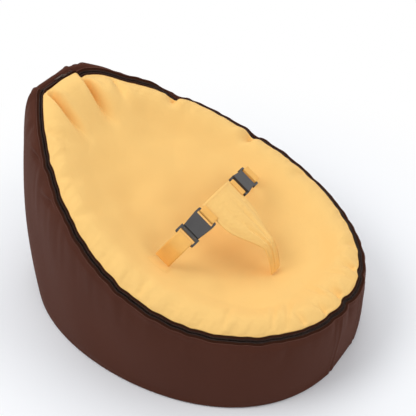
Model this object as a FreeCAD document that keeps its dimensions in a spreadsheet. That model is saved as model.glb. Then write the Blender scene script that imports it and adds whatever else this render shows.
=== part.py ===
"""Baby bean-bag seat: a brown fabric bag with a zipped-on padded cover and a crotch harness.

Frame: +Z up, +Y towards the head end, X across the seat. The origin is on the floor under the middle.
"Left" is the -X side. All lengths are millimetres.
"""
import FreeCAD
import Part
import Sketcher
import math
import os

Vector = FreeCAD.Vector

# Every size that can be set by itself: alias, value, what it is.
SIZES = [
    # bag
    ("base_head_y", 375.5, "base outline's head apex, before its corners are cut off straight"),
    ("base_foot_y", 380.4, "base outline's foot apex, towards the foot"),
    ("base_half_width", 304.6, "half of the base panel's greatest width"),
    ("base_taper_share", 0.03, "how much narrower the base is towards the head"),
    ("rim_head_y", 356.9, "zip line's head apex, before its corners are cut off straight"),
    ("rim_foot_y", 377.5, "zip line's foot apex, towards the foot"),
    ("rim_half_width", 283.1, "half of the zip line's greatest width"),
    ("apex_half_width", 10.0, "half of the outlines' width at their apexes"),
    ("rim_head_height", 458.1, "zip line's height at the head"),
    ("rim_foot_height", 165.3, "zip line's height at the foot"),
    ("rim_taper_share", 0.184, "how much narrower the zip line is towards the head"),
    ("rim_square_share", 0.182, "how square the zip line's sides are"),
    ("head_bulge_depth", 35.4, "how far the head wall bellies out at half height"),
    ("side_bulge_depth", 4.0, "the same at the sides"),
    ("foot_bulge_depth", 2.5, "the same at the foot"),
    ("head_shoulder_depth", 17.8, "how far the wall's top fold stands out at the head"),
    ("side_shoulder_depth", 2.0, "the same at the sides"),
    ("foot_shoulder_depth", 1.5, "the same at the foot"),
    ("wall_thickness", 2.4, "brown shell fabric with its lining"),
    ("base_thickness", 3.0, "base panel fabric, quilted"),
    ("fabric_gap", 0.3, "clearance between soft pieces"),
    # zip band
    ("band_half_width", 8.0, "half of the zip band's width"),
    ("band_slope_deg", 30.0, "how far the zip band leans in over the bag, degrees"),
    ("tape_thickness", 1.0, "zip tape"),
    ("teeth_half_gap", 0.7, "half of the gap between the two rows of teeth"),
    ("teeth_width", 2.3, "one row of coil teeth"),
    ("teeth_height", 2.2, "coil teeth"),
    # seat cover
    ("cover_thickness", 3.4, "padded seat cover"),
    ("hollow_depth", 50.0, "depth of the seat's hollow under the rim"),
    ("hollow_half_width", 245.0, "half of the hollow's width"),
    ("hollow_head_reach", 320.0, "hollow's length from its middle to the head"),
    ("hollow_foot_reach", 375.0, "hollow's length from its middle to the foot"),
    ("hollow_middle_y", 9.0, "the hollow's middle"),
    ("roll_height", 13.0, "puffed roll along the zip"),
    ("roll_width", 105.0, "the roll, from the zip inwards"),
    # slider and pull
    ("slider_rest_x", 4.0, "slider's parked place on the head run"),
    ("slider_length", 13.0, "slider body, along the zip"),
    ("slider_width", 10.4, "slider body, across the zip"),
    ("slider_plate", 1.3, "slider's upper and lower plates"),
    ("slider_web", 0.8, "slider's web between the rows of teeth"),
    ("slider_lip", 0.8, "slider's side lips, thickness"),
    ("slider_lip_depth", 0.7, "slider's side lips, depth"),
    ("slider_clearance", 0.35, "running clearance of the slider round the teeth"),
    ("slider_corner", 0.6, "slider plates' corner radius"),
    ("ear_height", 3.4, "slider's ears, above the plate"),
    ("ear_length", 4.0, "slider's ears, along the zip"),
    ("ear_thickness", 1.1, "slider's ears"),
    ("pull_pin_radius", 0.7, "pin that holds the pull"),
    ("pull_clearance", 0.06, "running clearance round the pin"),
    ("pull_side_gap", 0.3, "gap between the pull and each ear"),
    ("pull_barrel_radius", 1.5, "pull's barrel"),
    ("pull_barrel_width", 4.4, "pull's barrel, along its pin"),
    ("pull_length", 24.0, "pull, from its pin to its end"),
    ("pull_width", 8.0, "pull tab"),
    ("pull_neck_width", 4.4, "pull's neck beside the barrel"),
    ("pull_neck_length", 5.0, "pull's neck"),
    ("pull_thickness", 1.5, "pull tab"),
    ("pull_hole_radius", 1.7, "hole near the pull's end"),
    ("stop_length", 3.0, "zip end stop, along the zip"),
    ("stop_spacing", 3.0, "gap between the two end stops"),
    ("stop_wall", 0.8, "zip end stop's wall"),
    # harness
    ("harness_y", -82.0, "middle of the hip belt's width, at the crown of the arch"),
    ("harness_rise", 94.6, "the arch's crown, above the cover where the side belts meet it"),
    ("harness_tilt_deg", 33.0, "the harness leans back with the seat, degrees"),
    ("webbing_width", 38.0, "belt width"),
    ("webbing_thickness", 1.6, "belt thickness"),
    ("pad_half_width", 50.0, "half of the crotch pad's width at the hips"),
    ("pad_crotch_half_width", 17.0, "half of the crotch pad's width at the crotch"),
    ("pad_top_reach", 24.0, "pad's top edge, above the belt's middle"),
    ("pad_length", 142.0, "pad, from the belt's middle down to the crotch bend"),
    ("pad_root_run", 6.0, "how far the pad's last stretch, down to the seat, runs on towards the foot"),
    ("pad_seat_gap", 1.3, "pad's root above the nominal height of the cover"),
    ("pad_edge_thickness", 2.6, "pad at its sewn edge"),
    ("pad_crown", 2.8, "how far each face of the pad swells"),
    ("pad_arch_drop", 12.0, "how far the pad's sides hang below its middle"),
    ("buckle_tilt_deg", 17.0, "buckles hang down from the pad's sides, degrees"),
    # buckle
    ("frame_width", 49.0, "buckle halves, across the belt"),
    ("frame_thickness", 6.0, "buckle frames round the belt slots"),
    ("frame_bar", 4.4, "bar that the belt goes round"),
    ("frame_slot", 9.0, "belt slot, along the belt"),
    ("slot_width", 40.0, "belt slot, across the belt"),
    ("frame_corner", 3.5, "buckle frames' corner radius"),
    ("housing_length", 38.0, "female half's housing"),
    ("housing_thickness", 12.0, "female half's housing"),
    ("mouth_width", 41.0, "female half's housing at its mouth"),
    ("housing_wall", 1.7, "female half's walls, above and below the cavity"),
    ("housing_edge", 1.2, "rounding of the housing's edges"),
    ("cavity_width", 35.0, "female half's cavity"),
    ("cavity_back_wall", 4.0, "wall behind the cavity"),
    ("window_length", 15.0, "side windows for the prongs"),
    ("window_mouth_wall", 10.0, "wall between a window and the mouth"),
    ("buckle_gap", 0.5, "gap between the closed halves"),
    ("male_base_length", 7.0, "male half's bridge in front of its slot"),
    ("tongue_width", 6.0, "male half's middle tongue"),
    ("tongue_clearance", 1.0, "free length behind the tongue's tip"),
    ("prong_width", 3.8, "prong arm"),
    ("prong_offset", 13.4, "prong arm's middle, from the buckle's middle"),
    ("prong_clearance", 0.4, "clearance round the prongs"),
    ("prong_head_reach", 20.6, "prong head's outer face, from the buckle's middle"),
    ("prong_catch_gap", 0.5, "gap between a prong's catch and the window's edge"),
    ("prong_nose", 4.0, "prong's tip beyond its head"),
    ("strap_overlap", 5.0, "how far a strap loop laps over the pad's edge"),
    ("belt_anchor_x", 158.0, "where a side belt meets the cover"),
    ("belt_return", 9.0, "belt's return leg behind the bar"),
    ("belt_knee_reach", 14.0, "where the belt turns down to the cover, beyond the return leg"),
    ("belt_seat_gap", 0.5, "gap between a belt's end and the cover"),
]

doc = FreeCAD.newDocument("bean_bag_seat")
sheet = doc.addObject("Spreadsheet::Sheet", "Sizes")
for row, (alias, value, note) in enumerate(SIZES, start=1):
    sheet.set("A%d" % row, alias)
    sheet.set("B%d" % row, str(value))
    sheet.set("C%d" % row, note)
    sheet.setAlias("B%d" % row, alias)
doc.recompute()


class Sizes:
    """The sheet's values by name."""


size = Sizes()
for alias, value, note in SIZES:
    setattr(size, alias, float(getattr(sheet, alias)))

# Shares of the soft forms and turns of the outline.
HALF_TURN = math.pi
HEAD_CORNER = 0.356
FOOT_CORNER = HALF_TURN - 0.138
LENGTH_SWELL_SHARE = 0.099
HEIGHT_POWER_SHARE = 1.9
FINE_SHARE = 0.01
BAND_SLOPE = math.radians(size.band_slope_deg)
HARNESS_TILT = math.radians(size.harness_tilt_deg)
BUCKLE_TILT = math.radians(size.buckle_tilt_deg)
parts = []


def keep(obj, label):
    """Give a sub-part its name and put it on the list of files to write."""
    obj.Label = label
    parts.append(obj)
    return obj


def feature(label, shape, placement=None):
    """A sub-part whose shape is made by the functions below."""
    obj = doc.addObject("Part::Feature", label)
    obj.Shape = shape
    obj.Placement = placement or FreeCAD.Placement()
    return keep(obj, label)


# The bag's outline, seen from above. Each side is an egg curve: w turns from the head corner to the
# foot corner, and a straight run joins the two sides at the head and at the foot.
def outline(w, head, foot, half_width, taper, square):
    """A point of the right side of an egg outline."""
    cosine = math.cos(w)
    along = cosine * (1 + LENGTH_SWELL_SHARE * (1 - cosine ** 2))
    swell = (1 - taper * cosine - square * math.cos(2 * w)) / (1 + square)
    x = size.apex_half_width + (half_width - size.apex_half_width) * swell * math.sin(w)
    return x, (head - foot) / 2 + (head + foot) / 2 * along


def rim_height(y):
    """Height of the zip line, which depends on y alone."""
    share = (y + size.rim_foot_y) / (size.rim_head_y + size.rim_foot_y)
    rise = size.rim_head_height - size.rim_foot_height
    return size.rim_foot_height + rise * max(share, 0.0) ** HEIGHT_POWER_SHARE


def rim_plan(w):
    return outline(w, size.rim_head_y, size.rim_foot_y, size.rim_half_width, size.rim_taper_share,
                   size.rim_square_share)


def rim_run(w):
    """Level unit vector along the zip line, towards the foot."""
    before, after = rim_plan(w - FINE_SHARE), rim_plan(w + FINE_SHARE)
    return Vector(after[0] - before[0], after[1] - before[1], 0).normalize()


CORNER_FADE_SHARE = 0.3
HEAD_TURN = abs(math.atan2(rim_run(HEAD_CORNER).y, rim_run(HEAD_CORNER).x))
FOOT_TURN = HALF_TURN - abs(math.atan2(rim_run(FOOT_CORNER).y, rim_run(FOOT_CORNER).x))
HEAD_MITRE_SHARE = math.tan(HEAD_TURN / 2)
FOOT_MITRE_SHARE = math.tan(FOOT_TURN / 2)


def inward(w):
    """Level vector from the zip line into the seat, mitred where the corners are."""
    run = rim_run(w)
    head_fade = max(1 - (w - HEAD_CORNER) / CORNER_FADE_SHARE, 0.0) ** 2
    foot_fade = max(1 - (FOOT_CORNER - w) / CORNER_FADE_SHARE, 0.0) ** 2
    return Vector(run.y, -run.x, 0) + run * (HEAD_MITRE_SHARE * head_fade - FOOT_MITRE_SHARE * foot_fade)


def band_point(w, across, above):
    """A point of the zip band: across is inward from the zip line, above is square to the band."""
    x, y = rim_plan(w)
    level = inward(w)
    slope = level * math.cos(BAND_SLOPE) + Vector(0, 0, math.sin(BAND_SLOPE))
    normal = level * -math.sin(BAND_SLOPE) + Vector(0, 0, math.cos(BAND_SLOPE))
    return Vector(x, y, rim_height(y)) + slope * across + normal * above


def by_end(w, head, side, foot):
    """Blend a head, side and foot value round the outline."""
    cosine = math.cos(w)
    return side + (head - side) * max(cosine, 0) ** 2 + (foot - side) * max(-cosine, 0) ** 2


SHOULDER_PEAK_SHARE = 9.48


def wall_point(w, rise):
    """A point of the shell's outer face; rise runs from 0 at the base panel to 1 at the zip band."""
    base_x, base_y = outline(w, size.base_head_y, size.base_foot_y, size.base_half_width,
                             size.base_taper_share, 0)
    base = Vector(base_x, base_y, size.base_thickness + size.fabric_gap)
    top_edge = -size.band_half_width - size.fabric_gap - size.wall_thickness
    top = band_point(w, top_edge, size.tape_thickness)
    out = inward(w) * -1
    belly = by_end(w, size.head_bulge_depth, size.side_bulge_depth, size.foot_bulge_depth)
    middle = (base + top) / 2 + out * belly
    fold = by_end(w, size.head_shoulder_depth, size.side_shoulder_depth, size.foot_shoulder_depth)
    fold *= SHOULDER_PEAK_SHARE * rise ** 6 * (1 - rise ** 2)
    point = base * ((1 - rise) * (1 - 2 * rise)) + middle * (4 * rise * (1 - rise))
    return point + top * (rise * (2 * rise - 1)) + out * fold


def wall_inside(depth):
    """The shell's face moved square to itself into the bag."""
    def surface(w, rise):
        middle = min(max(rise, FINE_SHARE), 1 - FINE_SHARE)
        up = wall_point(w, middle + FINE_SHARE) - wall_point(w, middle - FINE_SHARE)
        level = inward(w)
        lean = up.dot(level) / level.Length
        length = math.hypot(lean, up.z)
        return wall_point(w, rise) + level * (depth * up.z / length) - Vector(0, 0, depth * lean / length)
    return surface


COVER_EDGE = size.band_half_width + size.fabric_gap + size.cover_thickness * math.sin(BAND_SLOPE)
COVER_EDGE_HEIGHT = size.cover_thickness / 2
ROLL_PEAK_SHARE = 6.75
HOLLOW_POWER_SHARE = 1.6
EDGE_FADE_SHARE = 0.4


def hollow_share(x, y):
    """1 in the middle of the seat's hollow, falling to 0 at its edge."""
    reach = size.hollow_head_reach if y > size.hollow_middle_y else size.hollow_foot_reach
    away = math.hypot(x / size.hollow_half_width, (y - size.hollow_middle_y) / reach)
    return 0.5 + 0.5 * math.cos(HALF_TURN * min(away, 1.0) ** HOLLOW_POWER_SHARE)


def both(first, second):
    """A smooth distance to the nearer of two edges."""
    return first + second - math.hypot(first, second)


def cover_top(w, across):
    """A point of the cover's upper face; across runs from -1 at the left edge to 1 at the right edge."""
    edge = band_point(w, COVER_EDGE, COVER_EDGE_HEIGHT)
    head = band_point(HEAD_CORNER, COVER_EDGE, COVER_EDGE_HEIGHT)
    foot = band_point(FOOT_CORNER, COVER_EDGE, COVER_EDGE_HEIGHT)
    x, y = edge.x * across, edge.y
    to_side = (edge.x - abs(x)) * -rim_run(w).y
    to_edge = both(both(to_side, head.y - y), y - foot.y)
    inside = min(to_edge / size.roll_width, 1.0)
    puff = size.roll_height * ROLL_PEAK_SHARE * inside * (1 - inside) ** 2
    fade = min(to_edge / (EDGE_FADE_SHARE * size.roll_width), 1.0)
    return Vector(x, y, edge.z + puff - size.hollow_depth * fade * hollow_share(x, y))


def cover_bottom(w, across):
    """The cover's lower face, one thickness below its upper face."""
    point = cover_top(w, across)
    point.z -= size.cover_thickness
    return point


def bag_top(w, across):
    """The top of the bead bag, a clearance below the cover."""
    point = cover_bottom(w, across)
    point.z -= size.fabric_gap
    return point


# Faces and solids from grids of points.
def spread(low, high, count):
    return [low + (high - low) * i / (count - 1) for i in range(count)]


SIDE_STEPS = spread(HEAD_CORNER, FOOT_CORNER, 11)
RISE_STEPS = [0.0, 0.2, 0.4, 0.58, 0.72, 0.83, 0.92, 1.0]
HALF_ACROSS_STEPS = [0.0, 0.2, 0.38, 0.54, 0.67, 0.78, 0.87, 0.94, 1.0]
ACROSS_STEPS = [-share for share in reversed(HALF_ACROSS_STEPS[1:])] + HALF_ACROSS_STEPS


def curves(surface, rows, columns, mirror=1):
    """Smooth lines along a surface, one for each column; mirror is -1 for the left side."""
    lines = []
    for column in columns:
        curve = Part.BSplineCurve()
        curve.interpolate([Vector(mirror * p.x, p.y, p.z) for p in [surface(row, column) for row in rows]])
        lines.append(curve.toShape())
    return lines


def straight(start, end):
    return Part.LineSegment(start, end).toShape()


def first_point(edge):
    return edge.valueAt(edge.FirstParameter)


def last_point(edge):
    return edge.valueAt(edge.LastParameter)


ENDS = (first_point, last_point)


def between(first, second):
    return Part.makeRuledSurface(first, second)


def lofted(lines):
    """Ruled faces from each line to the next."""
    return [between(first, second) for first, second in zip(lines, lines[1:])]


def flat(points):
    return Part.Face(Part.makePolygon(points + points[:1]))


def sewn(faces, label):
    """One closed solid from faces that share their edges."""
    shell = Part.makeShell(faces)
    shell.sewShape()
    if shell.ShapeType != "Shell":
        shell = shell.Shells[0]
    solid = Part.makeSolid(shell)
    if solid.Volume < 0:
        solid.reverse()
    if not solid.isValid() or not shell.isClosed():
        raise RuntimeError("%s is not a closed solid" % label)
    return solid


def edge_faces(outer, inner):
    """Narrow faces between two matching rows of points."""
    faces = []
    for number in range(len(outer) - 1):
        above = straight(outer[number], outer[number + 1])
        below = straight(inner[number], inner[number + 1])
        faces.append(between(above, below))
    return faces


def sheet_solid(outer, inner, label):
    """The solid between two sets of matching lines."""
    faces = lofted(outer) + lofted(inner) + [between(outer[0], inner[0]), between(outer[-1], inner[-1])]
    for point in ENDS:
        faces += edge_faces([point(line) for line in outer], [point(line) for line in inner])
    return sewn(faces, label)


# The brown shell: two side walls, and a head and a foot panel between the corners.
wall_lines = {}
for mirror, name in ((1, "side_wall_right"), (-1, "side_wall_left")):
    wall_lines[mirror, "outer"] = curves(wall_point, SIDE_STEPS, RISE_STEPS, mirror)
    wall_lines[mirror, "inner"] = curves(wall_inside(size.wall_thickness), SIDE_STEPS, RISE_STEPS, mirror)
    feature(name, sheet_solid(wall_lines[mirror, "outer"], wall_lines[mirror, "inner"], name))


def end_panel(label, point):
    """The panel between the two side walls at their first (head) or last (foot) points."""
    corners = {}
    for mirror in (1, -1):
        for face in ("outer", "inner"):
            places = [point(line) for line in wall_lines[mirror, face]]
            corners[mirror, face] = [Vector(p.x - mirror * size.fabric_gap, p.y, p.z) for p in places]
    rings = [corners[mirror, "outer"] + corners[mirror, "inner"][::-1] for mirror in (1, -1)]
    right, left = [ring + ring[:1] for ring in rings]
    faces = [flat([right[number], right[number + 1], left[number + 1], left[number]])
             for number in range(len(right) - 1)]
    for mirror in (1, -1):
        faces += edge_faces(corners[mirror, "outer"], corners[mirror, "inner"])
    return feature(label, sewn(faces, label))


end_panel("head_panel", first_point)
end_panel("foot_panel", last_point)


# Base panel: lies under the foot of the walls, on the floor.
def floor_face(lines):
    """The level face between a right and a left line."""
    runs = [straight(point(lines[0]), point(lines[1])) for point in ENDS]
    return Part.Face(Part.Wire(Part.__sortEdges__(lines + runs)))


def floor_lines(depth, height):
    """Level lines at a depth inside the wall's foot."""
    edge = wall_inside(depth)

    def level(w, rise):
        point = edge(w, rise)
        point.z = height
        return point
    return [curves(level, SIDE_STEPS, [0.0], mirror)[0] for mirror in (1, -1)]


base_lines = floor_lines(0, 0)
feature("base_panel", floor_face(base_lines).extrude(Vector(0, 0, size.base_thickness)))

# Inner bag, full of beads, under the shell and the cover.
BAG_RISES = RISE_STEPS[1:-2]


def bag_solid(depth, floor):
    """A closed bag inside the shell, by its depth inside the wall and its height over the floor."""
    right_foot, left_foot = floor_lines(depth, floor)
    right = [right_foot] + curves(wall_inside(depth), SIDE_STEPS, BAG_RISES, 1)
    left = [left_foot] + curves(wall_inside(depth), SIDE_STEPS, BAG_RISES, -1)
    seat = curves(bag_top, SIDE_STEPS, ACROSS_STEPS)
    faces = lofted(right + seat[::-1] + left[::-1])
    faces.append(floor_face([right_foot, left_foot]))
    for point in ENDS:
        for number in range(len(right) - 1):
            faces.append(flat([point(right[number]), point(right[number + 1]), point(left[number + 1]),
                               point(left[number])]))
        crown = [point(line) for line in seat]
        faces.append(flat([point(left[-1])] + crown + [point(right[-1])]))
    return sewn(faces, "bead_bag")


feature("bead_bag", bag_solid(size.wall_thickness + size.fabric_gap, size.base_thickness + size.fabric_gap))

# Seat cover: a smooth padded sheet.
feature("seat_cover", sheet_solid(curves(cover_top, SIDE_STEPS, ACROSS_STEPS),
                                  curves(cover_bottom, SIDE_STEPS, ACROSS_STEPS), "seat_cover"))


# Zip band: tapes and rows of teeth, each a strip round the rim.
def strip(label, low, high, bottom, top):
    """A strip of the zip band: curved along each side, straight at the head and at the foot."""
    def edge(w, corner):
        return band_point(w, *corner)
    corners = [(low, bottom), (high, bottom), (high, top), (low, top)]
    sides = [curves(edge, SIDE_STEPS, corners, mirror) for mirror in (1, -1)]
    runs = [[straight(point(right), point(left)) for right, left in zip(*sides)] for point in ENDS]
    faces = []
    for edges in sides + runs:
        faces += lofted(edges + edges[:1])
    return feature(label, sewn(faces, label))


HALF_TAPE = size.tape_thickness / 2
HALF_TEETH = size.teeth_height / 2
TEETH_END = size.teeth_half_gap + size.teeth_width
TAPE_START = TEETH_END + size.fabric_gap
strip("zip_tape_shell", -size.band_half_width, -TAPE_START, -HALF_TAPE, HALF_TAPE)
strip("zip_teeth_shell", -TEETH_END, -size.teeth_half_gap, -HALF_TEETH, HALF_TEETH)
strip("zip_teeth_cover", size.teeth_half_gap, TEETH_END, -HALF_TEETH, HALF_TEETH)
strip("zip_tape_cover", TAPE_START, size.band_half_width, -HALF_TAPE, HALF_TAPE)


# Sketched bodies.
def frame_placement(origin, x_axis, y_axis):
    """A placement from an origin and two square unit axes."""
    z_axis = x_axis.cross(y_axis)
    matrix = FreeCAD.Matrix(x_axis.x, y_axis.x, z_axis.x, origin.x,
                            x_axis.y, y_axis.y, z_axis.y, origin.y,
                            x_axis.z, y_axis.z, z_axis.z, origin.z, 0, 0, 0, 1)
    return FreeCAD.Placement(matrix)


def new_body(label):
    return keep(doc.addObject("PartDesign::Body", label), label)


def origin_plane(body, role):
    return [item for item in body.Origin.OriginFeatures if item.Role == role][0]


def sketch_on(body, plane, loops, offset=0.0, offset_rule=None):
    """A sketch of closed loops; a loop is a list of corners or a circle (centre, radius)."""
    sketch = body.newObject("Sketcher::SketchObject", body.Name + "_sketch")
    sketch.AttachmentSupport = [(origin_plane(body, plane), "")]
    sketch.MapMode = "FlatFace"
    if offset_rule:
        sketch.setExpression("AttachmentOffset.Base.z", offset_rule)
    else:
        sketch.AttachmentOffset = FreeCAD.Placement(Vector(0, 0, offset), FreeCAD.Rotation())
    for loop in loops:
        if isinstance(loop, tuple):
            centre, radius = loop
            sketch.addGeometry(Part.Circle(Vector(*centre, 0), Vector(0, 0, 1), radius))
            continue
        first = sketch.GeometryCount
        count = len(loop)
        for number in range(count):
            start, end = loop[number], loop[(number + 1) % count]
            sketch.addGeometry(Part.LineSegment(Vector(*start, 0), Vector(*end, 0)))
        for number in range(count):
            following = first + (number + 1) % count
            sketch.addConstraint(Sketcher.Constraint("Coincident", first + number, 2, following, 1))
    return sketch


def pad(body, sketch, rule, midplane=False, reverse=False):
    extrusion = body.newObject("PartDesign::Pad", body.Name + "_pad")
    extrusion.Profile = sketch
    extrusion.setExpression("Length", rule)
    extrusion.Midplane = midplane
    extrusion.Reversed = reverse
    doc.recompute()
    return extrusion


def pocket(body, sketch, rule, midplane=True, reverse=False):
    before = body.Shape.Volume
    hole = body.newObject("PartDesign::Pocket", body.Name + "_pocket")
    hole.Profile = sketch
    hole.setExpression("Length", rule)
    hole.Midplane = midplane
    hole.Reversed = reverse
    doc.recompute()
    if not body.Shape.Volume < before:
        raise RuntimeError("%s cuts nothing" % hole.Name)
    return hole


def rounded(body, rule, chosen):
    """Round the edges of the body's last shape that a test picks."""
    base = body.Tip
    names = ["Edge%d" % (i + 1) for i, edge in enumerate(base.Shape.Edges) if chosen(edge)]
    fillet = body.newObject("PartDesign::Fillet", body.Name + "_fillet")
    fillet.Base = (base, names)
    fillet.setExpression("Radius", rule)
    doc.recompute()
    return fillet


def box_loop(x_low, y_low, x_high, y_high):
    return [(x_low, y_low), (x_high, y_low), (x_high, y_high), (x_low, y_high)]


def upright(edge):
    """True for an edge along the body's own Z."""
    ends = [vertex.Point for vertex in edge.Vertexes]
    if len(ends) != 2:
        return False
    across = math.hypot(ends[0].x - ends[1].x, ends[0].y - ends[1].y)
    return across < FINE_SHARE * edge.Length


# Zip slider on the straight head run. Its own X is along the zip, Y across it, Z square to the band.
BAND_IN = Vector(0, -math.cos(BAND_SLOPE), math.sin(BAND_SLOPE))


def on_head_run(x):
    """A placement on the zip line at the head."""
    origin = band_point(HEAD_CORNER, 0, 0)
    origin.x = x
    return frame_placement(origin, Vector(-1, 0, 0), BAND_IN)


slider = new_body("zip_slider")
HALF_SLIDER = size.slider_width / 2
CHANNEL = HALF_TEETH + size.slider_clearance
PLATE_TOP = CHANNEL + size.slider_plate
HALF_WEB = size.slider_web / 2
LIP_INSIDE = HALF_SLIDER - size.slider_lip
LIP_END = CHANNEL - size.slider_lip_depth
right_top = [(HALF_WEB, CHANNEL), (LIP_INSIDE, CHANNEL), (LIP_INSIDE, LIP_END), (HALF_SLIDER, LIP_END),
             (HALF_SLIDER, PLATE_TOP)]
left_top = [(-x, z) for x, z in reversed(right_top)]
left_bottom = [(-x, -z) for x, z in right_top]
right_bottom = [(x, -z) for x, z in reversed(right_top)]
slider_section = right_top + left_top + left_bottom + right_bottom
pad(slider, sketch_on(slider, "YZ_Plane", [slider_section]), "Sizes.slider_length", midplane=True)
rounded(slider, "Sizes.slider_corner",
        lambda edge: upright(edge) and abs(edge.CenterOfMass.y) > HALF_SLIDER - size.slider_lip / 2)
PIN_HEIGHT = PLATE_TOP + size.ear_height / 2 + size.pull_clearance
HALF_BARREL = size.pull_barrel_width / 2
EAR_INSIDE = HALF_BARREL + size.pull_side_gap
HALF_EAR = size.ear_length / 2
EAR_TOP = PLATE_TOP + size.ear_height
for sign in (1, -1):
    ear = [(-HALF_EAR, CHANNEL + size.slider_plate / 2), (HALF_EAR, CHANNEL + size.slider_plate / 2),
           (HALF_EAR / 2, EAR_TOP), (-HALF_EAR / 2, EAR_TOP)]
    side = sign * (EAR_INSIDE + size.ear_thickness / 2)
    pad(slider, sketch_on(slider, "XZ_Plane", [ear], offset=side), "Sizes.ear_thickness", midplane=True)
pad(slider, sketch_on(slider, "XZ_Plane", [((0.0, PIN_HEIGHT), size.pull_pin_radius)]),
    "Sizes.pull_barrel_width + 2 * Sizes.pull_side_gap + Sizes.ear_thickness", midplane=True)
slider.Placement = on_head_run(size.slider_rest_x)

# Pull tab: turns on the slider's pin and lies along the zip, towards -X.
pull = new_body("zip_pull")
HALF_PULL = size.pull_width / 2
HALF_NECK = size.pull_neck_width / 2
SHOULDER_END = size.pull_neck_length + HALF_PULL - HALF_NECK
BORE = size.pull_pin_radius + size.pull_clearance
tab = [(BORE, -HALF_NECK), (size.pull_neck_length, -HALF_NECK), (SHOULDER_END, -HALF_PULL),
       (size.pull_length, -HALF_PULL), (size.pull_length, HALF_PULL), (SHOULDER_END, HALF_PULL),
       (size.pull_neck_length, HALF_NECK), (BORE, HALF_NECK)]
pad(pull, sketch_on(pull, "XY_Plane", [tab]), "Sizes.pull_thickness", midplane=True)
pad(pull, sketch_on(pull, "XZ_Plane", [((0.0, 0.0), size.pull_barrel_radius)]), "Sizes.pull_barrel_width",
    midplane=True)
pocket(pull, sketch_on(pull, "XZ_Plane", [((0.0, 0.0), BORE)]), "2 * Sizes.pull_width")
HOLE_X = size.pull_length - HALF_PULL
pocket(pull, sketch_on(pull, "XY_Plane", [((HOLE_X, 0.0), size.pull_hole_radius)]), "2 * Sizes.pull_width")
PULL_ROUND = "Sizes.pull_width / 2 - Sizes.pull_hole_radius / 4"
rounded(pull, PULL_ROUND, lambda edge: upright(edge) and edge.CenterOfMass.x > HOLE_X + HALF_PULL / 2)
pin_lift = frame_placement(Vector(0, 0, PIN_HEIGHT), Vector(1, 0, 0), Vector(0, 1, 0))
pull.Placement = on_head_run(size.slider_rest_x).multiply(pin_lift)

# End stops: where the two ends of the zip meet, each holds both rows of teeth between two plates.
STOP_SECTION = [(HALF_WEB, CHANNEL), (TEETH_END, CHANNEL), (TEETH_END, CHANNEL + size.stop_wall)]
STOP_SECTION += [(-y, z) for y, z in reversed(STOP_SECTION)]
STOP_SECTION += [(-y, -z) for y, z in STOP_SECTION]
STOP_START = size.slider_rest_x + size.slider_length / 2 + size.stop_spacing / 2
stop_shapes = []
for number in range(2):
    section = flat([Vector(0, y, z) for y, z in STOP_SECTION])
    stop = section.extrude(Vector(size.stop_length, 0, 0))
    stop.Placement = on_head_run(STOP_START + (number + 1) * size.stop_length + number * size.stop_spacing)
    stop_shapes.append(stop)
feature("zip_stops", Part.makeCompound(stop_shapes))

# Harness frame: ACROSS is +X, UP_SEAT runs up the seat towards the head, OUT stands off the seat.
ACROSS = Vector(1, 0, 0)
UP_SEAT = Vector(0, math.cos(HARNESS_TILT), math.sin(HARNESS_TILT))
OUT = Vector(0, -math.sin(HARNESS_TILT), math.cos(HARNESS_TILT))
SEARCH_ROUNDS = 40


def cover_height(x, y):
    """Height of the cover's upper face over a point."""
    low, high = HEAD_CORNER, FOOT_CORNER
    for _ in range(SEARCH_ROUNDS):
        w = (low + high) / 2
        edge = band_point(w, COVER_EDGE, COVER_EDGE_HEIGHT)
        if edge.y > y:
            low = w
        else:
            high = w
    return cover_top(w, x / edge.x).z


CROWN = Vector(0, size.harness_y, cover_height(size.belt_anchor_x, size.harness_y) + size.harness_rise)

# Crotch pad: a padded triangle that narrows to the crotch and turns down to the seat.
PAD_V_STEPS = [0.0, 0.12, 0.25, 0.4, 0.55, 0.68, 0.78, 0.86, 0.93, 1.0]
PAD_U_STEPS = [-1.0, -0.8, -0.6, -0.4, -0.2, 0.0, 0.2, 0.4, 0.6, 0.8, 1.0]
PAD_BEND_SHARE = 0.8
PAD_SHOULDER_SHARE = 0.3


def pad_line(v):
    """The pad's middle line from its top edge to its root on the seat."""
    top = CROWN + UP_SEAT * size.pad_top_reach
    bend = CROWN - UP_SEAT * size.pad_length
    root = Vector(0, bend.y - size.pad_root_run, 0)
    root.z = cover_height(size.pad_crotch_half_width, root.y - size.pad_edge_thickness) + size.pad_seat_gap
    if v < PAD_BEND_SHARE - (1 - PAD_BEND_SHARE) / 2:
        return top + (bend - top) * (v / PAD_BEND_SHARE)
    start_share = (PAD_BEND_SHARE - (1 - PAD_BEND_SHARE) / 2) / PAD_BEND_SHARE
    start = top + (bend - top) * start_share
    t = (v - PAD_BEND_SHARE * start_share) / (1 - PAD_BEND_SHARE * start_share)
    return start * (1 - t) ** 2 + bend * (2 * t * (1 - t)) + root * t ** 2


def pad_half_width(v):
    """Half width: full at the hips, drawn in towards the crotch."""
    t = min(max((v - PAD_SHOULDER_SHARE) / (PAD_BEND_SHARE - PAD_SHOULDER_SHARE), 0.0), 1.0)
    ease = t * t * (3 - 2 * t)
    return size.pad_half_width + (size.pad_crotch_half_width - size.pad_half_width) * ease


def pad_face(side):
    """The pad's outer (side 1) or inner (side -1) face."""
    def surface(v, u):
        width = pad_half_width(v)
        run = (pad_line(min(v + FINE_SHARE, 1.0)) - pad_line(max(v - FINE_SHARE, 0.0))).normalize()
        normal = run.cross(ACROSS)
        if normal.z < 0:
            normal = normal * -1
        share = width / size.pad_half_width
        sag = size.pad_arch_drop * share * u * u * (1 - v ** 4)
        swell = size.pad_edge_thickness / 2 + size.pad_crown * (1 - u * u) * (1 - (2 * v - 1) ** 4)
        return pad_line(v) + ACROSS * (u * width) - OUT * sag + normal * (side * swell)
    return surface


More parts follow.
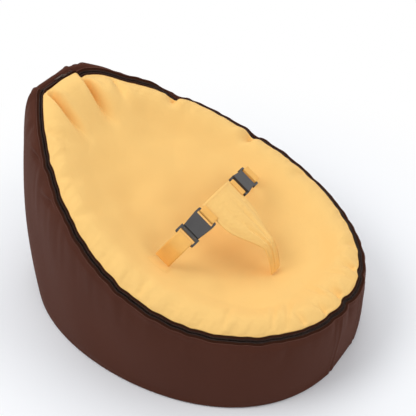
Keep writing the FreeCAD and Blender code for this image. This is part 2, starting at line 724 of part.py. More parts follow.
feature("crotch_pad", sheet_solid(curves(pad_face(1), PAD_V_STEPS, PAD_U_STEPS),
                                  curves(pad_face(-1), PAD_V_STEPS, PAD_U_STEPS), "crotch_pad"))

# Buckle frames. A buckle's own X points away from the pad, Y across the belt, Z off the seat.
HALF_WEBBING = size.webbing_width / 2
HALF_BELT = size.webbing_thickness / 2
BAR_RADIUS = size.frame_bar / 2
LOOP_SIDE = BAR_RADIUS + size.fabric_gap + HALF_BELT
LOOP_HEIGHT = size.frame_thickness / 2 + size.fabric_gap + HALF_BELT
LOOP_BEND = HALF_BELT + 2 * size.fabric_gap
HALF_HOUSING = size.housing_length / 2
FEMALE_BAR_X = -HALF_HOUSING - size.frame_slot - BAR_RADIUS
MALE_START = HALF_HOUSING + size.buckle_gap
MALE_BAR_X = MALE_START + size.male_base_length + size.frame_slot + BAR_RADIUS
ARM_REACH = BAR_RADIUS + 2 * size.webbing_thickness + size.frame_bar / 2
PAD_EDGE_SAG = size.pad_arch_drop


def buckle_placement(side):
    """The frame of the right (side 1) or left (side -1) buckle."""
    x_axis = ACROSS * (side * math.cos(BUCKLE_TILT)) - OUT * math.sin(BUCKLE_TILT)
    edge = CROWN + ACROSS * (side * (size.pad_half_width + size.fabric_gap)) - OUT * PAD_EDGE_SAG
    return frame_placement(edge + x_axis * (ARM_REACH - FEMALE_BAR_X), x_axis, UP_SEAT * side)


def female_half(label, side):
    """Housing with a cavity, side windows for the prongs, and a slot frame for the strap loop."""
    body = new_body(label)
    frame_end = FEMALE_BAR_X - BAR_RADIUS
    half_frame = size.frame_width / 2
    half_mouth = size.mouth_width / 2
    half_slot = size.slot_width / 2
    plate = [(frame_end, -half_frame), (-HALF_HOUSING + size.housing_wall, -half_frame),
             (-HALF_HOUSING + size.housing_wall, half_frame), (frame_end, half_frame)]
    pad(body, sketch_on(body, "XY_Plane", [plate]), "Sizes.frame_thickness", midplane=True)
    housing = [(-HALF_HOUSING, -half_frame), (HALF_HOUSING, -half_mouth), (HALF_HOUSING, half_mouth),
               (-HALF_HOUSING, half_frame)]
    pad(body, sketch_on(body, "XY_Plane", [housing]), "Sizes.housing_thickness", midplane=True)
    rounded(body, "Sizes.frame_corner", lambda edge: upright(edge) and edge.CenterOfMass.x < FEMALE_BAR_X)
    half_high = size.housing_thickness / 2
    rounded(body, "Sizes.housing_edge",
            lambda edge: abs(abs(edge.CenterOfMass.z) - half_high) < FINE_SHARE)
    slot = box_loop(-HALF_HOUSING - size.frame_slot, -half_slot, -HALF_HOUSING, half_slot)
    pocket(body, sketch_on(body, "XY_Plane", [slot]), "2 * Sizes.housing_thickness")
    half_cavity = size.cavity_width / 2
    cavity = box_loop(-HALF_HOUSING + size.cavity_back_wall, -half_cavity, 2 * HALF_HOUSING, half_cavity)
    pocket(body, sketch_on(body, "XY_Plane", [cavity]), "Sizes.housing_thickness - 2 * Sizes.housing_wall")
    window_end = HALF_HOUSING - size.window_mouth_wall
    window = box_loop(window_end - size.window_length, -size.frame_width, window_end, size.frame_width)
    pocket(body, sketch_on(body, "XY_Plane", [window]),
           "Sizes.housing_thickness - 2 * Sizes.housing_wall - 2 * Sizes.prong_clearance")
    body.Placement = buckle_placement(side)
    return body


PRONG_ROOT_X = MALE_START + size.male_base_length / 2
ROOT_RADIUS = size.prong_width / 2


def male_half(label, side):
    """Slot frame for the belt, a bridge with sockets for the prongs, and the middle tongue."""
    body = new_body(label)
    frame_end = MALE_BAR_X + BAR_RADIUS
    half_frame = size.frame_width / 2
    half_slot = size.slot_width / 2
    plate = box_loop(MALE_START, -half_frame, frame_end, half_frame)
    pad(body, sketch_on(body, "XY_Plane", [plate]), "Sizes.frame_thickness", midplane=True)
    rounded(body, "Sizes.frame_corner", lambda edge: upright(edge) and edge.CenterOfMass.x > MALE_BAR_X)
    slot_start = MALE_START + size.male_base_length
    slot = box_loop(slot_start, -half_slot, slot_start + size.frame_slot, half_slot)
    pocket(body, sketch_on(body, "XY_Plane", [slot]), "2 * Sizes.frame_thickness")
    sockets = [((PRONG_ROOT_X, sign * size.prong_offset), ROOT_RADIUS + size.prong_clearance / 4)
               for sign in (1, -1)]
    pocket(body, sketch_on(body, "XY_Plane", sockets), "2 * Sizes.frame_thickness")
    half_mouth = ROOT_RADIUS + 2 * size.prong_clearance
    mouths = [box_loop(MALE_START - size.buckle_gap, sign * size.prong_offset - half_mouth,
                       PRONG_ROOT_X, sign * size.prong_offset + half_mouth)
              for sign in (1, -1)]
    pocket(body, sketch_on(body, "XY_Plane", mouths), "2 * Sizes.frame_thickness")
    half_tongue = size.tongue_width / 2
    tip = -HALF_HOUSING + size.cavity_back_wall + size.tongue_clearance
    tongue = [(MALE_START + size.male_base_length / 2, -half_tongue), (tip + half_tongue, -half_tongue),
              (tip, -half_tongue / 2), (tip, half_tongue / 2), (tip + half_tongue, half_tongue),
              (MALE_START + size.male_base_length / 2, half_tongue)]
    pad(body, sketch_on(body, "XY_Plane", [tongue]), "Sizes.frame_thickness", midplane=True)
    body.Placement = buckle_placement(side)
    return body


def prong(label, side, hand):
    """A springy arm with a barbed head; hand is 1 or -1 for the side of the tongue."""
    body = new_body(label)
    window_end = HALF_HOUSING - size.window_mouth_wall
    catch = window_end - size.prong_catch_gap
    head_start = window_end - size.window_length + size.prong_clearance
    inner = size.prong_offset - ROOT_RADIUS
    outer = size.prong_offset + ROOT_RADIUS
    in_cavity = size.cavity_width / 2 - size.prong_clearance
    reach = size.prong_head_reach
    profile = [(PRONG_ROOT_X, inner), (PRONG_ROOT_X, outer), (catch, outer), (catch, reach),
               (catch - size.prong_nose, reach), (head_start, in_cavity),
               (head_start - size.prong_nose, in_cavity - size.prong_width / 2),
               (head_start - size.prong_nose, inner)]
    profile = [(x, hand * y) for x, y in profile]
    pad(body, sketch_on(body, "XY_Plane", [profile]), "Sizes.frame_thickness", midplane=True)
    root = [((PRONG_ROOT_X, hand * size.prong_offset), ROOT_RADIUS)]
    pad(body, sketch_on(body, "XY_Plane", root), "Sizes.frame_thickness", midplane=True)
    body.Placement = buckle_placement(side)
    return body


# Belts: flat bands. A belt's middle line is drawn in its own XZ plane, with rounded corners.
def ribbon_edges(corners, radii, offset):
    """The line moved sideways by an offset, as straight runs and arcs; radii are the middle line's."""
    points = [Vector(x, 0, z) for x, z in corners]
    edges = []
    start = None
    for number in range(len(points) - 1):
        run = (points[number + 1] - points[number]).normalize()
        side = Vector(-run.z, 0, run.x) * offset
        if start is None:
            start = points[0] + side
        if number == len(points) - 2:
            edges.append(Part.LineSegment(start, points[-1] + side).toShape())
            break
        following = (points[number + 2] - points[number + 1]).normalize()
        turn = math.atan2(run.x * following.z - run.z * following.x, run.dot(following))
        radius = radii[number]
        cut = radius * math.tan(abs(turn) / 2)
        arc_start = points[number + 1] - run * cut
        arc_end = points[number + 1] + following * cut
        hand = math.copysign(1, turn)
        centre = arc_start + Vector(-run.z, 0, run.x) * (hand * radius)
        first = arc_start + side
        last = arc_end + Vector(-following.z, 0, following.x) * offset
        middle = centre + ((first - centre) + (last - centre)).normalize() * (radius - hand * offset)
        if start.distanceToPoint(first) > FINE_SHARE * size.webbing_thickness:
            edges.append(Part.LineSegment(start, first).toShape())
        edges.append(Part.Arc(first, middle, last).toShape())
        start = last
    return edges


def band_solid(corners, radii):
    """A belt along a line of corners, webbing_width wide."""
    sides = [ribbon_edges(corners, radii, offset) for offset in (HALF_BELT, -HALF_BELT)]
    ends = [straight(sides[0][0].Vertexes[0].Point, sides[1][0].Vertexes[0].Point),
            straight(sides[0][-1].Vertexes[-1].Point, sides[1][-1].Vertexes[-1].Point)]
    face = Part.Face(Part.Wire(Part.__sortEdges__(sides[0] + sides[1] + ends)))
    face.translate(Vector(0, -HALF_WEBBING, 0))
    return face.extrude(Vector(0, size.webbing_width, 0))


def bar_loop(bar_x, towards, reach):
    """Corners of a belt that goes round a bar and back; towards is the side that it leaves by."""
    far, near = bar_x + towards * reach, bar_x - towards * LOOP_SIDE
    return [(far, -LOOP_HEIGHT), (near, -LOOP_HEIGHT), (near, LOOP_HEIGHT), (far, LOOP_HEIGHT)]


KNEE_BEND_SHARE = 0.95


def side_belt(label, side):
    """The belt from the male half's bar down to the cover, ending in a sewn foot."""
    placement = buckle_placement(side)
    inverse = placement.inverse()

    def local(point):
        moved = inverse.multVec(point)
        return moved.x, moved.z

    def on_cover(x):
        """Lowest clear place over the cover for the belt's whole width."""
        drop = 0
        for _ in range(8):
            centre = CROWN + ACROSS * x - OUT * drop
            heights = [centre.z + UP_SEAT.z * reach - cover_height(x, (centre + UP_SEAT * reach).y)
                       for reach in (-HALF_WEBBING, 0, HALF_WEBBING)]
            drop += min(heights) / OUT.z
        centre = CROWN + ACROSS * x - OUT * (drop - size.belt_seat_gap - HALF_BELT)
        return Vector(side * centre.x, centre.y, centre.z)
    corners = bar_loop(MALE_BAR_X, 1, size.belt_return)
    foot = local(on_cover(size.belt_anchor_x))
    last = corners.pop()
    knee = (last[0] + size.belt_knee_reach, last[1])
    corners += [knee, foot]
    turn = math.atan2(abs(foot[1] - knee[1]), foot[0] - knee[0])
    bend = KNEE_BEND_SHARE * min(math.dist(knee, foot), size.belt_knee_reach) / math.tan(turn / 2)
    return feature(label, band_solid(corners, [LOOP_BEND, LOOP_BEND, bend]), placement)


def arm_strap(label, side):
    """The short strap loop from both faces of the pad's side round the female half's bar."""
    lap = 1 - size.strap_overlap / size.pad_half_width
    pad_face_height = size.pad_edge_thickness / 2 + size.pad_crown * (1 - lap ** 2)
    end_height = pad_face_height + size.fabric_gap + HALF_BELT
    corners = bar_loop(FEMALE_BAR_X, -1, BAR_RADIUS + LOOP_BEND)
    end_x = FEMALE_BAR_X - ARM_REACH - size.strap_overlap
    corners = [(end_x, -end_height)] + corners + [(end_x, end_height)]
    return feature(label, band_solid(corners, [LOOP_BEND] * (len(corners) - 2)), buckle_placement(side))


for side, name in ((-1, "left"), (1, "right")):
    arm_strap("arm_strap_" + name, side)
    female_half("buckle_female_" + name, side)
    male_half("buckle_male_" + name, side)
    for hand, end in ((1, "head"), (-1, "foot")):
        prong("prong_%s_%s" % (name, end), side, hand * side)
    side_belt("side_belt_" + name, side)

# Check and write every sub-part.
doc.recompute()
for obj in doc.Objects:
    if "Invalid" in obj.State or "Error" in obj.State:
        raise RuntimeError("%s did not compute" % obj.Label)
for obj in parts:
    if obj.Shape.isNull() or not obj.Shape.isValid():
        raise RuntimeError("%s has no valid shape" % obj.Label)
os.makedirs("parts", exist_ok=True)
for obj in parts:
    obj.Shape.exportStep("parts/%s.step" % obj.Label)
for side, name in ((-1, "left"), (1, "right")):
    place = buckle_placement(side)
    print(name, "buckle axis", place.Rotation.multVec(Vector(1, 0, 0)),
          "prong axis", place.Rotation.multVec(Vector(0, 0, 1)))
    for hand in (1, -1):
        print("  prong root", place.multVec(Vector(PRONG_ROOT_X, hand * size.prong_offset, 0)))
print("pull pin", pull.Placement.Base, "axis", BAND_IN)
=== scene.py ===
"""Looks of a baby bean-bag seat: brown fabric bag, zipped-on orange cover, crotch harness.

Everything is in metres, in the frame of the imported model: +Z up, +Y towards the head end, and X
across. The angle w goes round an egg outline, from 0 at the head to pi at the foot.
"""
import math

import bmesh
import bpy
import numpy as np
from mathutils import Matrix, Vector
from mathutils.bvhtree import BVHTree


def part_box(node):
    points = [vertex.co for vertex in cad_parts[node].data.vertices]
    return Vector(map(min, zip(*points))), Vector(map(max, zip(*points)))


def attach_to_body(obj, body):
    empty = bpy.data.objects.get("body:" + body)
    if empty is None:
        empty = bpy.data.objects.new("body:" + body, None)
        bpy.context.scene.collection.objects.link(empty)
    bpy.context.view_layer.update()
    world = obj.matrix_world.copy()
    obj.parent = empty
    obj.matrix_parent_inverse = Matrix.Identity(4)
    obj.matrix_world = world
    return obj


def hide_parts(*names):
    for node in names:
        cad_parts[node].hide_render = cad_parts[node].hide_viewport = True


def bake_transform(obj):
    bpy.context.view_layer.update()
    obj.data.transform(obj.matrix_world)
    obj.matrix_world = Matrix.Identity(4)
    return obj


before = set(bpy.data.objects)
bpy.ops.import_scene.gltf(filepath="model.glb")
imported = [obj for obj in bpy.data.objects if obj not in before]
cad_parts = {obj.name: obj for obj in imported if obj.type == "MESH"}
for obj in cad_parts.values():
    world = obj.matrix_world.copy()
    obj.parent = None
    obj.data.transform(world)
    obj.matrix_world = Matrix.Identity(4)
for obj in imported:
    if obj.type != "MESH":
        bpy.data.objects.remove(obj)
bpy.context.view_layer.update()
scene = bpy.context.scene

# -------- sizes of the solids
BASE_HEAD_Y, BASE_FOOT_Y, BASE_HALF_WIDTH, BASE_TAPER = 0.3755, 0.3804, 0.3046, 0.03
RIM_HEAD_Y, RIM_FOOT_Y, RIM_HALF_WIDTH = 0.3569, 0.3775, 0.2831
RIM_TAPER, RIM_SQUARE, APEX_HALF_WIDTH = 0.184, 0.182, 0.010
RIM_HEAD_Z, RIM_FOOT_Z, RIM_POWER = 0.4581, 0.1653, 1.9
HEAD_CORNER, FOOT_CORNER = 0.356, math.pi - 0.138
LENGTH_SWELL = 0.099
BAND_SLOPE = math.radians(30)
# These three have a value for the head, the sides and the foot.
BULGES = (0.0354, 0.004, 0.0025)
SHOULDERS = (0.012, 0.002, 0.0015)
COLLARS = (0.018, 0.0035, 0.002)
# A peak brings its curve's highest point to 1.
SHOULDER_PEAK, COLLAR_PEAK, ROLL_PEAK = 9.48, 20.5, 6.75
WALL_FOOT_Z = 0.0033
HOLLOW_DEPTH, HOLLOW_HALF_WIDTH, HOLLOW_Y = 0.050, 0.245, 0.009
HOLLOW_HEAD, HOLLOW_FOOT = 0.320, 0.375
ROLL_HEIGHT, ROLL_WIDTH = 0.013, 0.105
CROWN = Vector((0, -0.082, 0.300))
HARNESS_TILT, BUCKLE_TILT = math.radians(33), math.radians(17)
WEBBING_WIDTH, WEBBING = 0.038, 0.0016
PAD_HALF_WIDTH, PAD_CROTCH, PAD_TOP, PAD_LENGTH = 0.050, 0.017, 0.024, 0.142
PAD_ARCH, PAD_EDGE, PAD_CROWN, PAD_ROOT_RUN = 0.012, 0.0026, 0.0028, 0.006
BAR_RADIUS, HOUSING_HALF, SLOT_LENGTH, FRAME_THICKNESS = 0.0022, 0.019, 0.009, 0.006
STRAP_OVERLAP, BELT_RETURN, KNEE_REACH, KNEE_SHARE = 0.005, 0.009, 0.014, 0.95
CLEARANCE = 0.0003
BELT_ANCHOR_X = 0.158

# -------- sizes of the cloth
COLUMNS = 1440
COVER_EDGE, COVER_LIFT = 0.010, 0.0034
SHELL_EDGE, SHELL_LIFT = 0.0107, 0.001
TAB_LENGTH, TAB_WIDTH = 0.030, 0.049
UPRIGHT = np.array([0.0, 0.0, 1.0])


# -------- helpers
def smooth(low, high, value):
    """0 below low, 1 above high, with a smooth step between."""
    t = np.clip((value - low) / (high - low), 0.0, 1.0)
    return t * t * (3 - 2 * t)


def hill(value, width):
    return np.exp(-(value / width) ** 2)


def hills(value, table):
    """The sum of smooth hills, each with its place, height and half width."""
    return sum(height * hill(value - place, width) for place, height, width in table)


def unit(vectors):
    return vectors / np.linalg.norm(vectors, axis=-1, keepdims=True)


def distances(rows):
    """The distance covered from the first row of points to each row."""
    steps = np.linalg.norm(np.diff(rows, axis=0), axis=-1)
    return np.concatenate([np.zeros((1,) + steps.shape[1:]), np.cumsum(steps, axis=0)])


def resample(places, along, line):
    """Points of a line at the given distances along it."""
    return np.stack([np.interp(places, along, line[:, k]) for k in range(line.shape[1])], 1)


def field_noise(seed, x, y, size, count=14):
    """A smooth random field of about -1 to 1, of waves about size long."""
    random = np.random.RandomState(seed)
    total = np.zeros(np.broadcast(x, y).shape)
    for _ in range(count):
        turn = random.uniform(0, 2 * np.pi)
        length = size * random.uniform(0.7, 1.6)
        wave = 2 * np.pi * (x * np.cos(turn) + y * np.sin(turn)) / length
        total = total + np.sin(wave + random.uniform(0, 6.28))
    return total / count ** 0.5


def soften(points, spread):
    """Round a closed ring's corners: a Gaussian average along it, of a spread in metres."""
    count = len(points)
    step = np.linalg.norm(np.roll(points, -1, 0) - points, axis=1).mean()
    offsets = np.arange(count)
    offsets = np.minimum(offsets, count - offsets) * step
    kernel = np.exp(-0.5 * (offsets / spread) ** 2)
    kernel /= kernel.sum()
    spectrum = np.fft.fft(kernel)[:, None]
    return np.real(np.fft.ifft(np.fft.fft(points, axis=0) * spectrum, axis=0))


def shade_smooth(mesh):
    mesh.polygons.foreach_set("use_smooth", [True] * len(mesh.polygons))


def mesh_object(name, points, faces, material, uvs=None):
    """A smooth mesh object from points, faces and one (u, v) for each point."""
    mesh = bpy.data.meshes.new(name)
    mesh.from_pydata(np.asarray(points, dtype=float).tolist(), [],
                     [list(map(int, face)) for face in faces])
    if uvs is not None:
        layer = mesh.uv_layers.new(name="UVMap")
        corners = np.zeros(len(mesh.loops), dtype=np.int32)
        mesh.loops.foreach_get("vertex_index", corners)
        layer.data.foreach_set("uv", np.asarray(uvs, dtype=np.float32)[corners].ravel())
    shade_smooth(mesh)
    mesh.validate()
    mesh.update()
    obj = bpy.data.objects.new(name, mesh)
    scene.collection.objects.link(obj)
    mesh.materials.append(material)
    return obj


def grid_faces(rows, columns, close_rows=False, close_columns=False):
    """Quads of a grid whose point (r, c) is number r * columns + c."""
    r = np.arange(rows if close_rows else rows - 1)
    c = np.arange(columns if close_columns else columns - 1)
    r, c = np.meshgrid(r, c, indexing="ij")
    r2, c2 = (r + 1) % rows, (c + 1) % columns
    corners = ((r, c), (r, c2), (r2, c2), (r2, c))
    return np.stack([row * columns + column for row, column in corners], -1).reshape(-1, 4)


def tube_faces(rows, sides, start=0):
    """Faces of a tube of rings of points, with a cap at each end; start is its first point."""
    caps = [list(range(first, first + sides)) for first in (start, start + (rows - 1) * sides)]
    return (grid_faces(rows, sides, close_columns=True) + start).tolist() + caps


def clean(obj, distance=1e-6):
    """Weld near points and turn every face outward."""
    mesh = bmesh.new()
    mesh.from_mesh(obj.data)
    bmesh.ops.remove_doubles(mesh, verts=mesh.verts, dist=distance)
    bmesh.ops.recalc_face_normals(mesh, faces=mesh.faces)
    mesh.to_mesh(obj.data)
    mesh.free()
    shade_smooth(obj.data)
    return obj


def tangents(points, axis=0):
    """The way from the point before to the point after, round a closed ring."""
    return np.roll(points, -1, axis) - np.roll(points, 1, axis)


def attach(piece, slot, *nodes):
    """A piece that rides on the seat, and the solids it stands for, which are hidden. The slot is
    not used.
    """
    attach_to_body(piece, "seat")
    if nodes:
        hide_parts(*nodes)
    return piece


def stitches(name, line, out, thread, pitch=0.0036, length=0.0025, closed=True):
    """A row of short arched stitches along a line of points with outward directions."""
    radius, sides, oblique = 0.00028, 5, np.array([0.31, 0.17, 0.93])
    shape = length * np.array([-0.5, -0.36, 0.0, 0.36, 0.5])
    arch = radius * np.array([-1.6, 0.2, 0.75, 0.2, -1.6])[:, None]
    turns = 2 * np.pi * np.arange(sides) / sides
    cosine, sine = np.cos(turns)[None, :, None], np.sin(turns)[None, :, None]
    line, out = np.asarray(line, dtype=float), np.asarray(out, dtype=float)
    if closed:
        line, out = np.vstack([line, line[:1]]), np.vstack([out, out[:1]])
    along = distances(line)
    points, faces = [], []
    for number in range(int(along[-1] / pitch)):
        places = (number + 0.5) * pitch + shape
        centre = resample(places, along, line) + resample(places, along, out) * arch
        ahead = unit(np.gradient(centre, axis=0))
        first = unit(np.cross(ahead, oblique))
        second = np.cross(ahead, first)
        rings = centre[:, None] + radius * (first[:, None] * cosine + second[:, None] * sine)
        points.append(rings.reshape(-1, 3))
        faces += tube_faces(len(shape), sides, number * len(shape) * sides)
    row = clean(mesh_object(name, np.vstack(points), faces, thread))
    attach(row, THREAD_SLOTS[thread.name])


def sewn(name, places, lift=0.0, closed=False):
    """Orange stitches along pairs of a point and the direction off the cloth."""
    line, out = [p + off * lift for p, off in places], [off for _, off in places]
    stitches(name, line, out, orange_thread, closed=closed)


# -------- outlines
def outline(w, head, foot, half_width, taper, square):
    """A point of the right side of an egg outline."""
    c = np.cos(w)
    along = c * (1 + LENGTH_SWELL * (1 - c * c))
    swell = (1 - taper * c - square * np.cos(2 * w)) / (1 + square)
    x = APEX_HALF_WIDTH + (half_width - APEX_HALF_WIDTH) * swell * np.sin(w)
    return x, (head - foot) / 2 + (head + foot) / 2 * along


def rim_plan(w):
    return outline(w, RIM_HEAD_Y, RIM_FOOT_Y, RIM_HALF_WIDTH, RIM_TAPER, RIM_SQUARE)


def rim_z(y):
    share = np.clip((y + RIM_FOOT_Y) / (RIM_HEAD_Y + RIM_FOOT_Y), 0, None)
    return RIM_FOOT_Z + (RIM_HEAD_Z - RIM_FOOT_Z) * share ** RIM_POWER


def ring_parameters(count):
    """Evenly spaced points of the closed zip line, as the angle w and the share of half width.

    The ring starts in the middle of the head run and goes down the right side first.
    """
    run = np.linspace(0, 1, 60)[:-1]
    side = np.linspace(HEAD_CORNER, FOOT_CORNER, 900)
    foot = np.linspace(1, -1, 120)[1:-1]
    w = np.concatenate([run * 0 + HEAD_CORNER, side, foot * 0 + FOOT_CORNER, side[::-1],
                        run * 0 + HEAD_CORNER])
    share = np.concatenate([run, side * 0 + 1, foot, side * 0 - 1, -run[::-1]])
    x, y = rim_plan(w)
    along = distances(np.stack([x * share, y, rim_z(y)], 1))
    places = np.linspace(0, along[-1], count, endpoint=False)
    return np.interp(places, along, w), np.interp(places, along, share)


RING_W, RING_SHARE = ring_parameters(COLUMNS)
# The columns of the head and foot runs, and those where a run meets a side.
ON_RUN = np.abs(RING_SHARE) < 0.9999
SEAMS = np.where(np.diff((~ON_RUN).astype(int), append=0) != 0)[0]

# -------- zip line
CORNER_SPREAD = 0.006
# Slow unevenness of the line: seed, wavelength, size.
SWAY, LIFT = (31, 0.085, 0.0012), (37, 0.10, 0.0015)
# Dents of the line at the foot, by x, and down the far side, by y: place, depth, half width.
FOOT_NOTCHES = ((-0.054, 0.007, 0.012), (-0.003, 0.006, 0.011), (0.084, 0.004, 0.013))
FAR_NOTCHES = ((0.190, 0.015, 0.016), (0.022, 0.011, 0.013), (0.240, -0.006, 0.020))
FOOT_END_Y, FAR_SIDE_X = -0.3, 0.03
# At the head the cloth drops by the zip, and the band turns over on both sides of the slider.
HEAD_DIP, HEAD_DROP, HEAD_INWARD = 0.011, 0.0095, 0.003
OVER_TURN, LEVEL_TURN = math.radians(62), math.radians(13)
# The ranges over which these begin or end, for smooth().
EVEN_Y, HEAD_Y, FAR_X, FAR_Y = (0.25, 0.32), (0.328, 0.341), (0.028, 0.055), (0.17, 0.25)
NEAR_X, NEAR_MIDDLE_X = (0.056, 0.066), (0.054, 0.066)
DIP_START_X, DIP_END_X, DIP_Y = (0.034, 0.046), (0.056, 0.105), (0.24, 0.28)
LEVEL_X, LEVEL_Y, COLLAR_X = (0.028, 0.060), (-0.16, -0.02), (0.02, 0.06)


class Rim:
    """The zip line as a closed ring, with its inward, sloping and upward directions."""

    def __init__(self):
        x, y = rim_plan(RING_W)
        plan = soften(np.stack([x * RING_SHARE, y], 1), CORNER_SPREAD)
        self.points = np.column_stack([plan, rim_z(plan[:, 1])])
        self.turn(np.full(COLUMNS, BAND_SLOPE))
        self.even = self.at(COVER_EDGE, COVER_LIFT)
        x, y = self.points[:, 0], self.points[:, 1]
        free = 1 - smooth(*EVEN_Y, y)
        sway, lift = (self.closed_noise(seed, size) * amount * free
                      for seed, size, amount in (SWAY, LIFT))
        sway = sway + (y < FOOT_END_Y) * hills(x, FOOT_NOTCHES)
        self.points = self.points + self.inward * sway[:, None] + UPRIGHT * lift[:, None]
        at_head = smooth(*HEAD_Y, y)
        far = smooth(*FAR_X, x) * smooth(*FAR_Y, y)
        over = far + smooth(*NEAR_X, -x) * at_head
        self.dip = HEAD_DIP * smooth(*DIP_START_X, x) * (1 - smooth(*DIP_END_X, x))
        self.dip = self.dip * smooth(*DIP_Y, y) + (x > FAR_SIDE_X) * hills(y, FAR_NOTCHES)
        self.points = self.points - UPRIGHT * (HEAD_DROP * far + self.dip)[:, None]
        level = smooth(*LEVEL_X, x) * smooth(*LEVEL_Y, y) * (1 - over)
        self.turn(BAND_SLOPE - over * OVER_TURN - level * LEVEL_TURN)
        middle = (1 - smooth(*FAR_X, x)) * (1 - smooth(*NEAR_MIDDLE_X, -x)) * at_head
        self.drop = middle[:, None] * (self.inward * HEAD_INWARD - UPRIGHT * HEAD_DROP)
        self.collar = 0.9 + 0.55 * middle - 0.1 * smooth(*COLLAR_X, x)

    def turn(self, tilt):
        """Find the directions along the ring, for a band that rises inwards by the angle tilt."""
        steps = np.linalg.norm(np.roll(self.points, -1, 0) - self.points, axis=1)
        self.length = steps.sum()
        self.along = np.concatenate([[0], np.cumsum(steps)])[:-1]
        level = unit(tangents(self.points)[:, :2])
        self.inward = np.column_stack([level[:, 1], -level[:, 0], np.zeros(COLUMNS)])
        cosine, sine = np.cos(tilt)[:, None], np.sin(tilt)[:, None]
        self.slope = self.inward * cosine + UPRIGHT * sine
        self.up = UPRIGHT * cosine - self.inward * sine

    def closed_noise(self, seed, size, octaves=3):
        """Noise along the ring that joins up at its ends."""
        random = np.random.RandomState(seed)
        total = np.zeros(COLUMNS)
        for octave in range(octaves):
            for _ in range(3):
                waves = round(self.length / (size / 1.6 ** octave * random.uniform(0.75, 1.3)))
                phase = random.uniform(0, 6.28)
                wave = 2 * np.pi * waves * np.arange(COLUMNS) / COLUMNS
                total += np.sin(wave + phase) / 1.4 ** octave
        return total / (3 * octaves) ** 0.5

    def at(self, across, above):
        return self.points + self.slope * across + self.up * above


rim = Rim()


def ring_mesh(name, rows, v, material, tube=True):
    """A mesh of rings of points along the rim; v is a ring's place across the cloth."""
    rows = np.asarray(rows)
    v = np.broadcast_to(v, rows.shape[:2])
    uvs = np.stack([np.broadcast_to(rim.along, v.shape), v], -1).reshape(-1, 2)
    faces = grid_faces(len(rows), COLUMNS, close_rows=tube, close_columns=True)
    return mesh_object(name, rows.reshape(-1, 3), faces, material, uvs)


# -------- materials
class Nodes:
    """A short way to write the nodes of a material, or of the world."""

    def __init__(self, owner, output="OutputMaterial"):
        owner.use_nodes = True
        self.owner, self.tree = owner, owner.node_tree
        self.tree.nodes.clear()
        self.output = self.add(output)

    def add(self, kind, inputs=None, **settings):
        node = self.tree.nodes.new("ShaderNode" + kind)
        for key, value in settings.items():
            setattr(node, key, value)
        for key, value in (inputs or {}).items():
            if isinstance(value, bpy.types.NodeSocket):
                self.tree.links.new(value, node.inputs[key])
            else:
                node.inputs[key].default_value = value
        return node

    def show(self, surface):
        """Connect the surface, and give back the material or world."""
        self.tree.links.new(surface.outputs[0], self.output.inputs["Surface"])
        return self.owner

    def finish(self, inputs):
        return self.show(self.add("BsdfPrincipled", inputs))

    def math(self, operation, first, second=0.0):
        return self.add("Math", {0: first, 1: second}, operation=operation).outputs[0]

    def times(self, first, second):
        return self.math("MULTIPLY", first, second)

    def plus(self, first, second):
        return self.math("ADD", first, second)

    def inverse(self, value):
        return self.math("SUBTRACT", 1.0, value)

    def place(self):
        return self.add("TexCoord").outputs["Object"]

    def uv(self):
        return self.add("UVMap", uv_map="UVMap").outputs[0]

    def split(self, vector):
        return self.add("SeparateXYZ", {0: vector}).outputs

    def noise(self, vector, scale, detail=2.0, rough=0.5):
        inputs = {"Vector": vector, "Scale": scale, "Detail": detail, "Roughness": rough}
        return self.add("TexNoise", inputs).outputs["Fac"]

    def ramp(self, value, *stops):
        """A colour ramp through two stops, each a place and a colour."""
        node = self.add("ValToRGB", {"Fac": value})
        for element, (place, colour) in zip(node.color_ramp.elements, stops):
            element.position = place
            element.color = colour
        return node.outputs["Color"]

    def tones(self, value, colour, *stops):
        """A ramp between two tones of a colour, each a place and a brightness."""
        return self.ramp(value, *((place, shade(colour, factor)) for place, factor in stops))

    def bump(self, height, strength, distance, normal=None):
        inputs = {"Height": height, "Strength": strength, "Distance": distance}
        if normal is not None:
            inputs["Normal"] = normal
        return self.add("Bump", inputs).outputs[0]

    def wave(self, value, pitch):
        return self.math("SINE", self.times(value, math.pi / pitch))

    def weave(self, first, second, thread):
        """Plain weave over two coordinates: 1 on top of a thread, 0 between threads."""
        waves = [self.wave(value, thread) for value in (first, second)]
        across, along = (self.math("ABSOLUTE", wave) for wave in waves)
        check = self.math("GREATER_THAN", self.times(*waves), 0.0)
        over = self.times(across, self.math("POWER", along, 0.4))
        under = self.times(along, self.math("POWER", across, 0.4))
        return self.plus(self.times(over, check), self.times(under, self.inverse(check)))

    def mix(self, share, first, second):
        inputs = {0: share, 6: first, 7: second}
        return self.add("Mix", inputs, data_type="RGBA").outputs[2]

    def mix_shaders(self, share, first, second):
        inputs = {0: share, 1: first.outputs[0], 2: second.outputs[0]}
        return self.add("MixShader", inputs)

    def seen(self):
        """1 where the camera sees this, itself or in gloss or through glass, and 0 for light."""
        path = self.add("LightPath").outputs
        mirrored = self.math("MAXIMUM", path["Is Glossy Ray"], path["Is Transmission Ray"])
        return self.math("MAXIMUM", path["Is Camera Ray"], mirrored)


def new_nodes(name):
    return Nodes(bpy.data.materials.new(name))


def linear(*levels):
    """A linear colour from sRGB levels of 0 to 255."""
    return tuple(share / 12.92 if share <= 0.04045 else ((share + 0.055) / 1.055) ** 2.4
                 for share in (level / 255 for level in levels)) + (1.0,)


def shade(colour, factor):
    return tuple(min(channel * factor, 1.0) for channel in colour[:3]) + (1.0,)


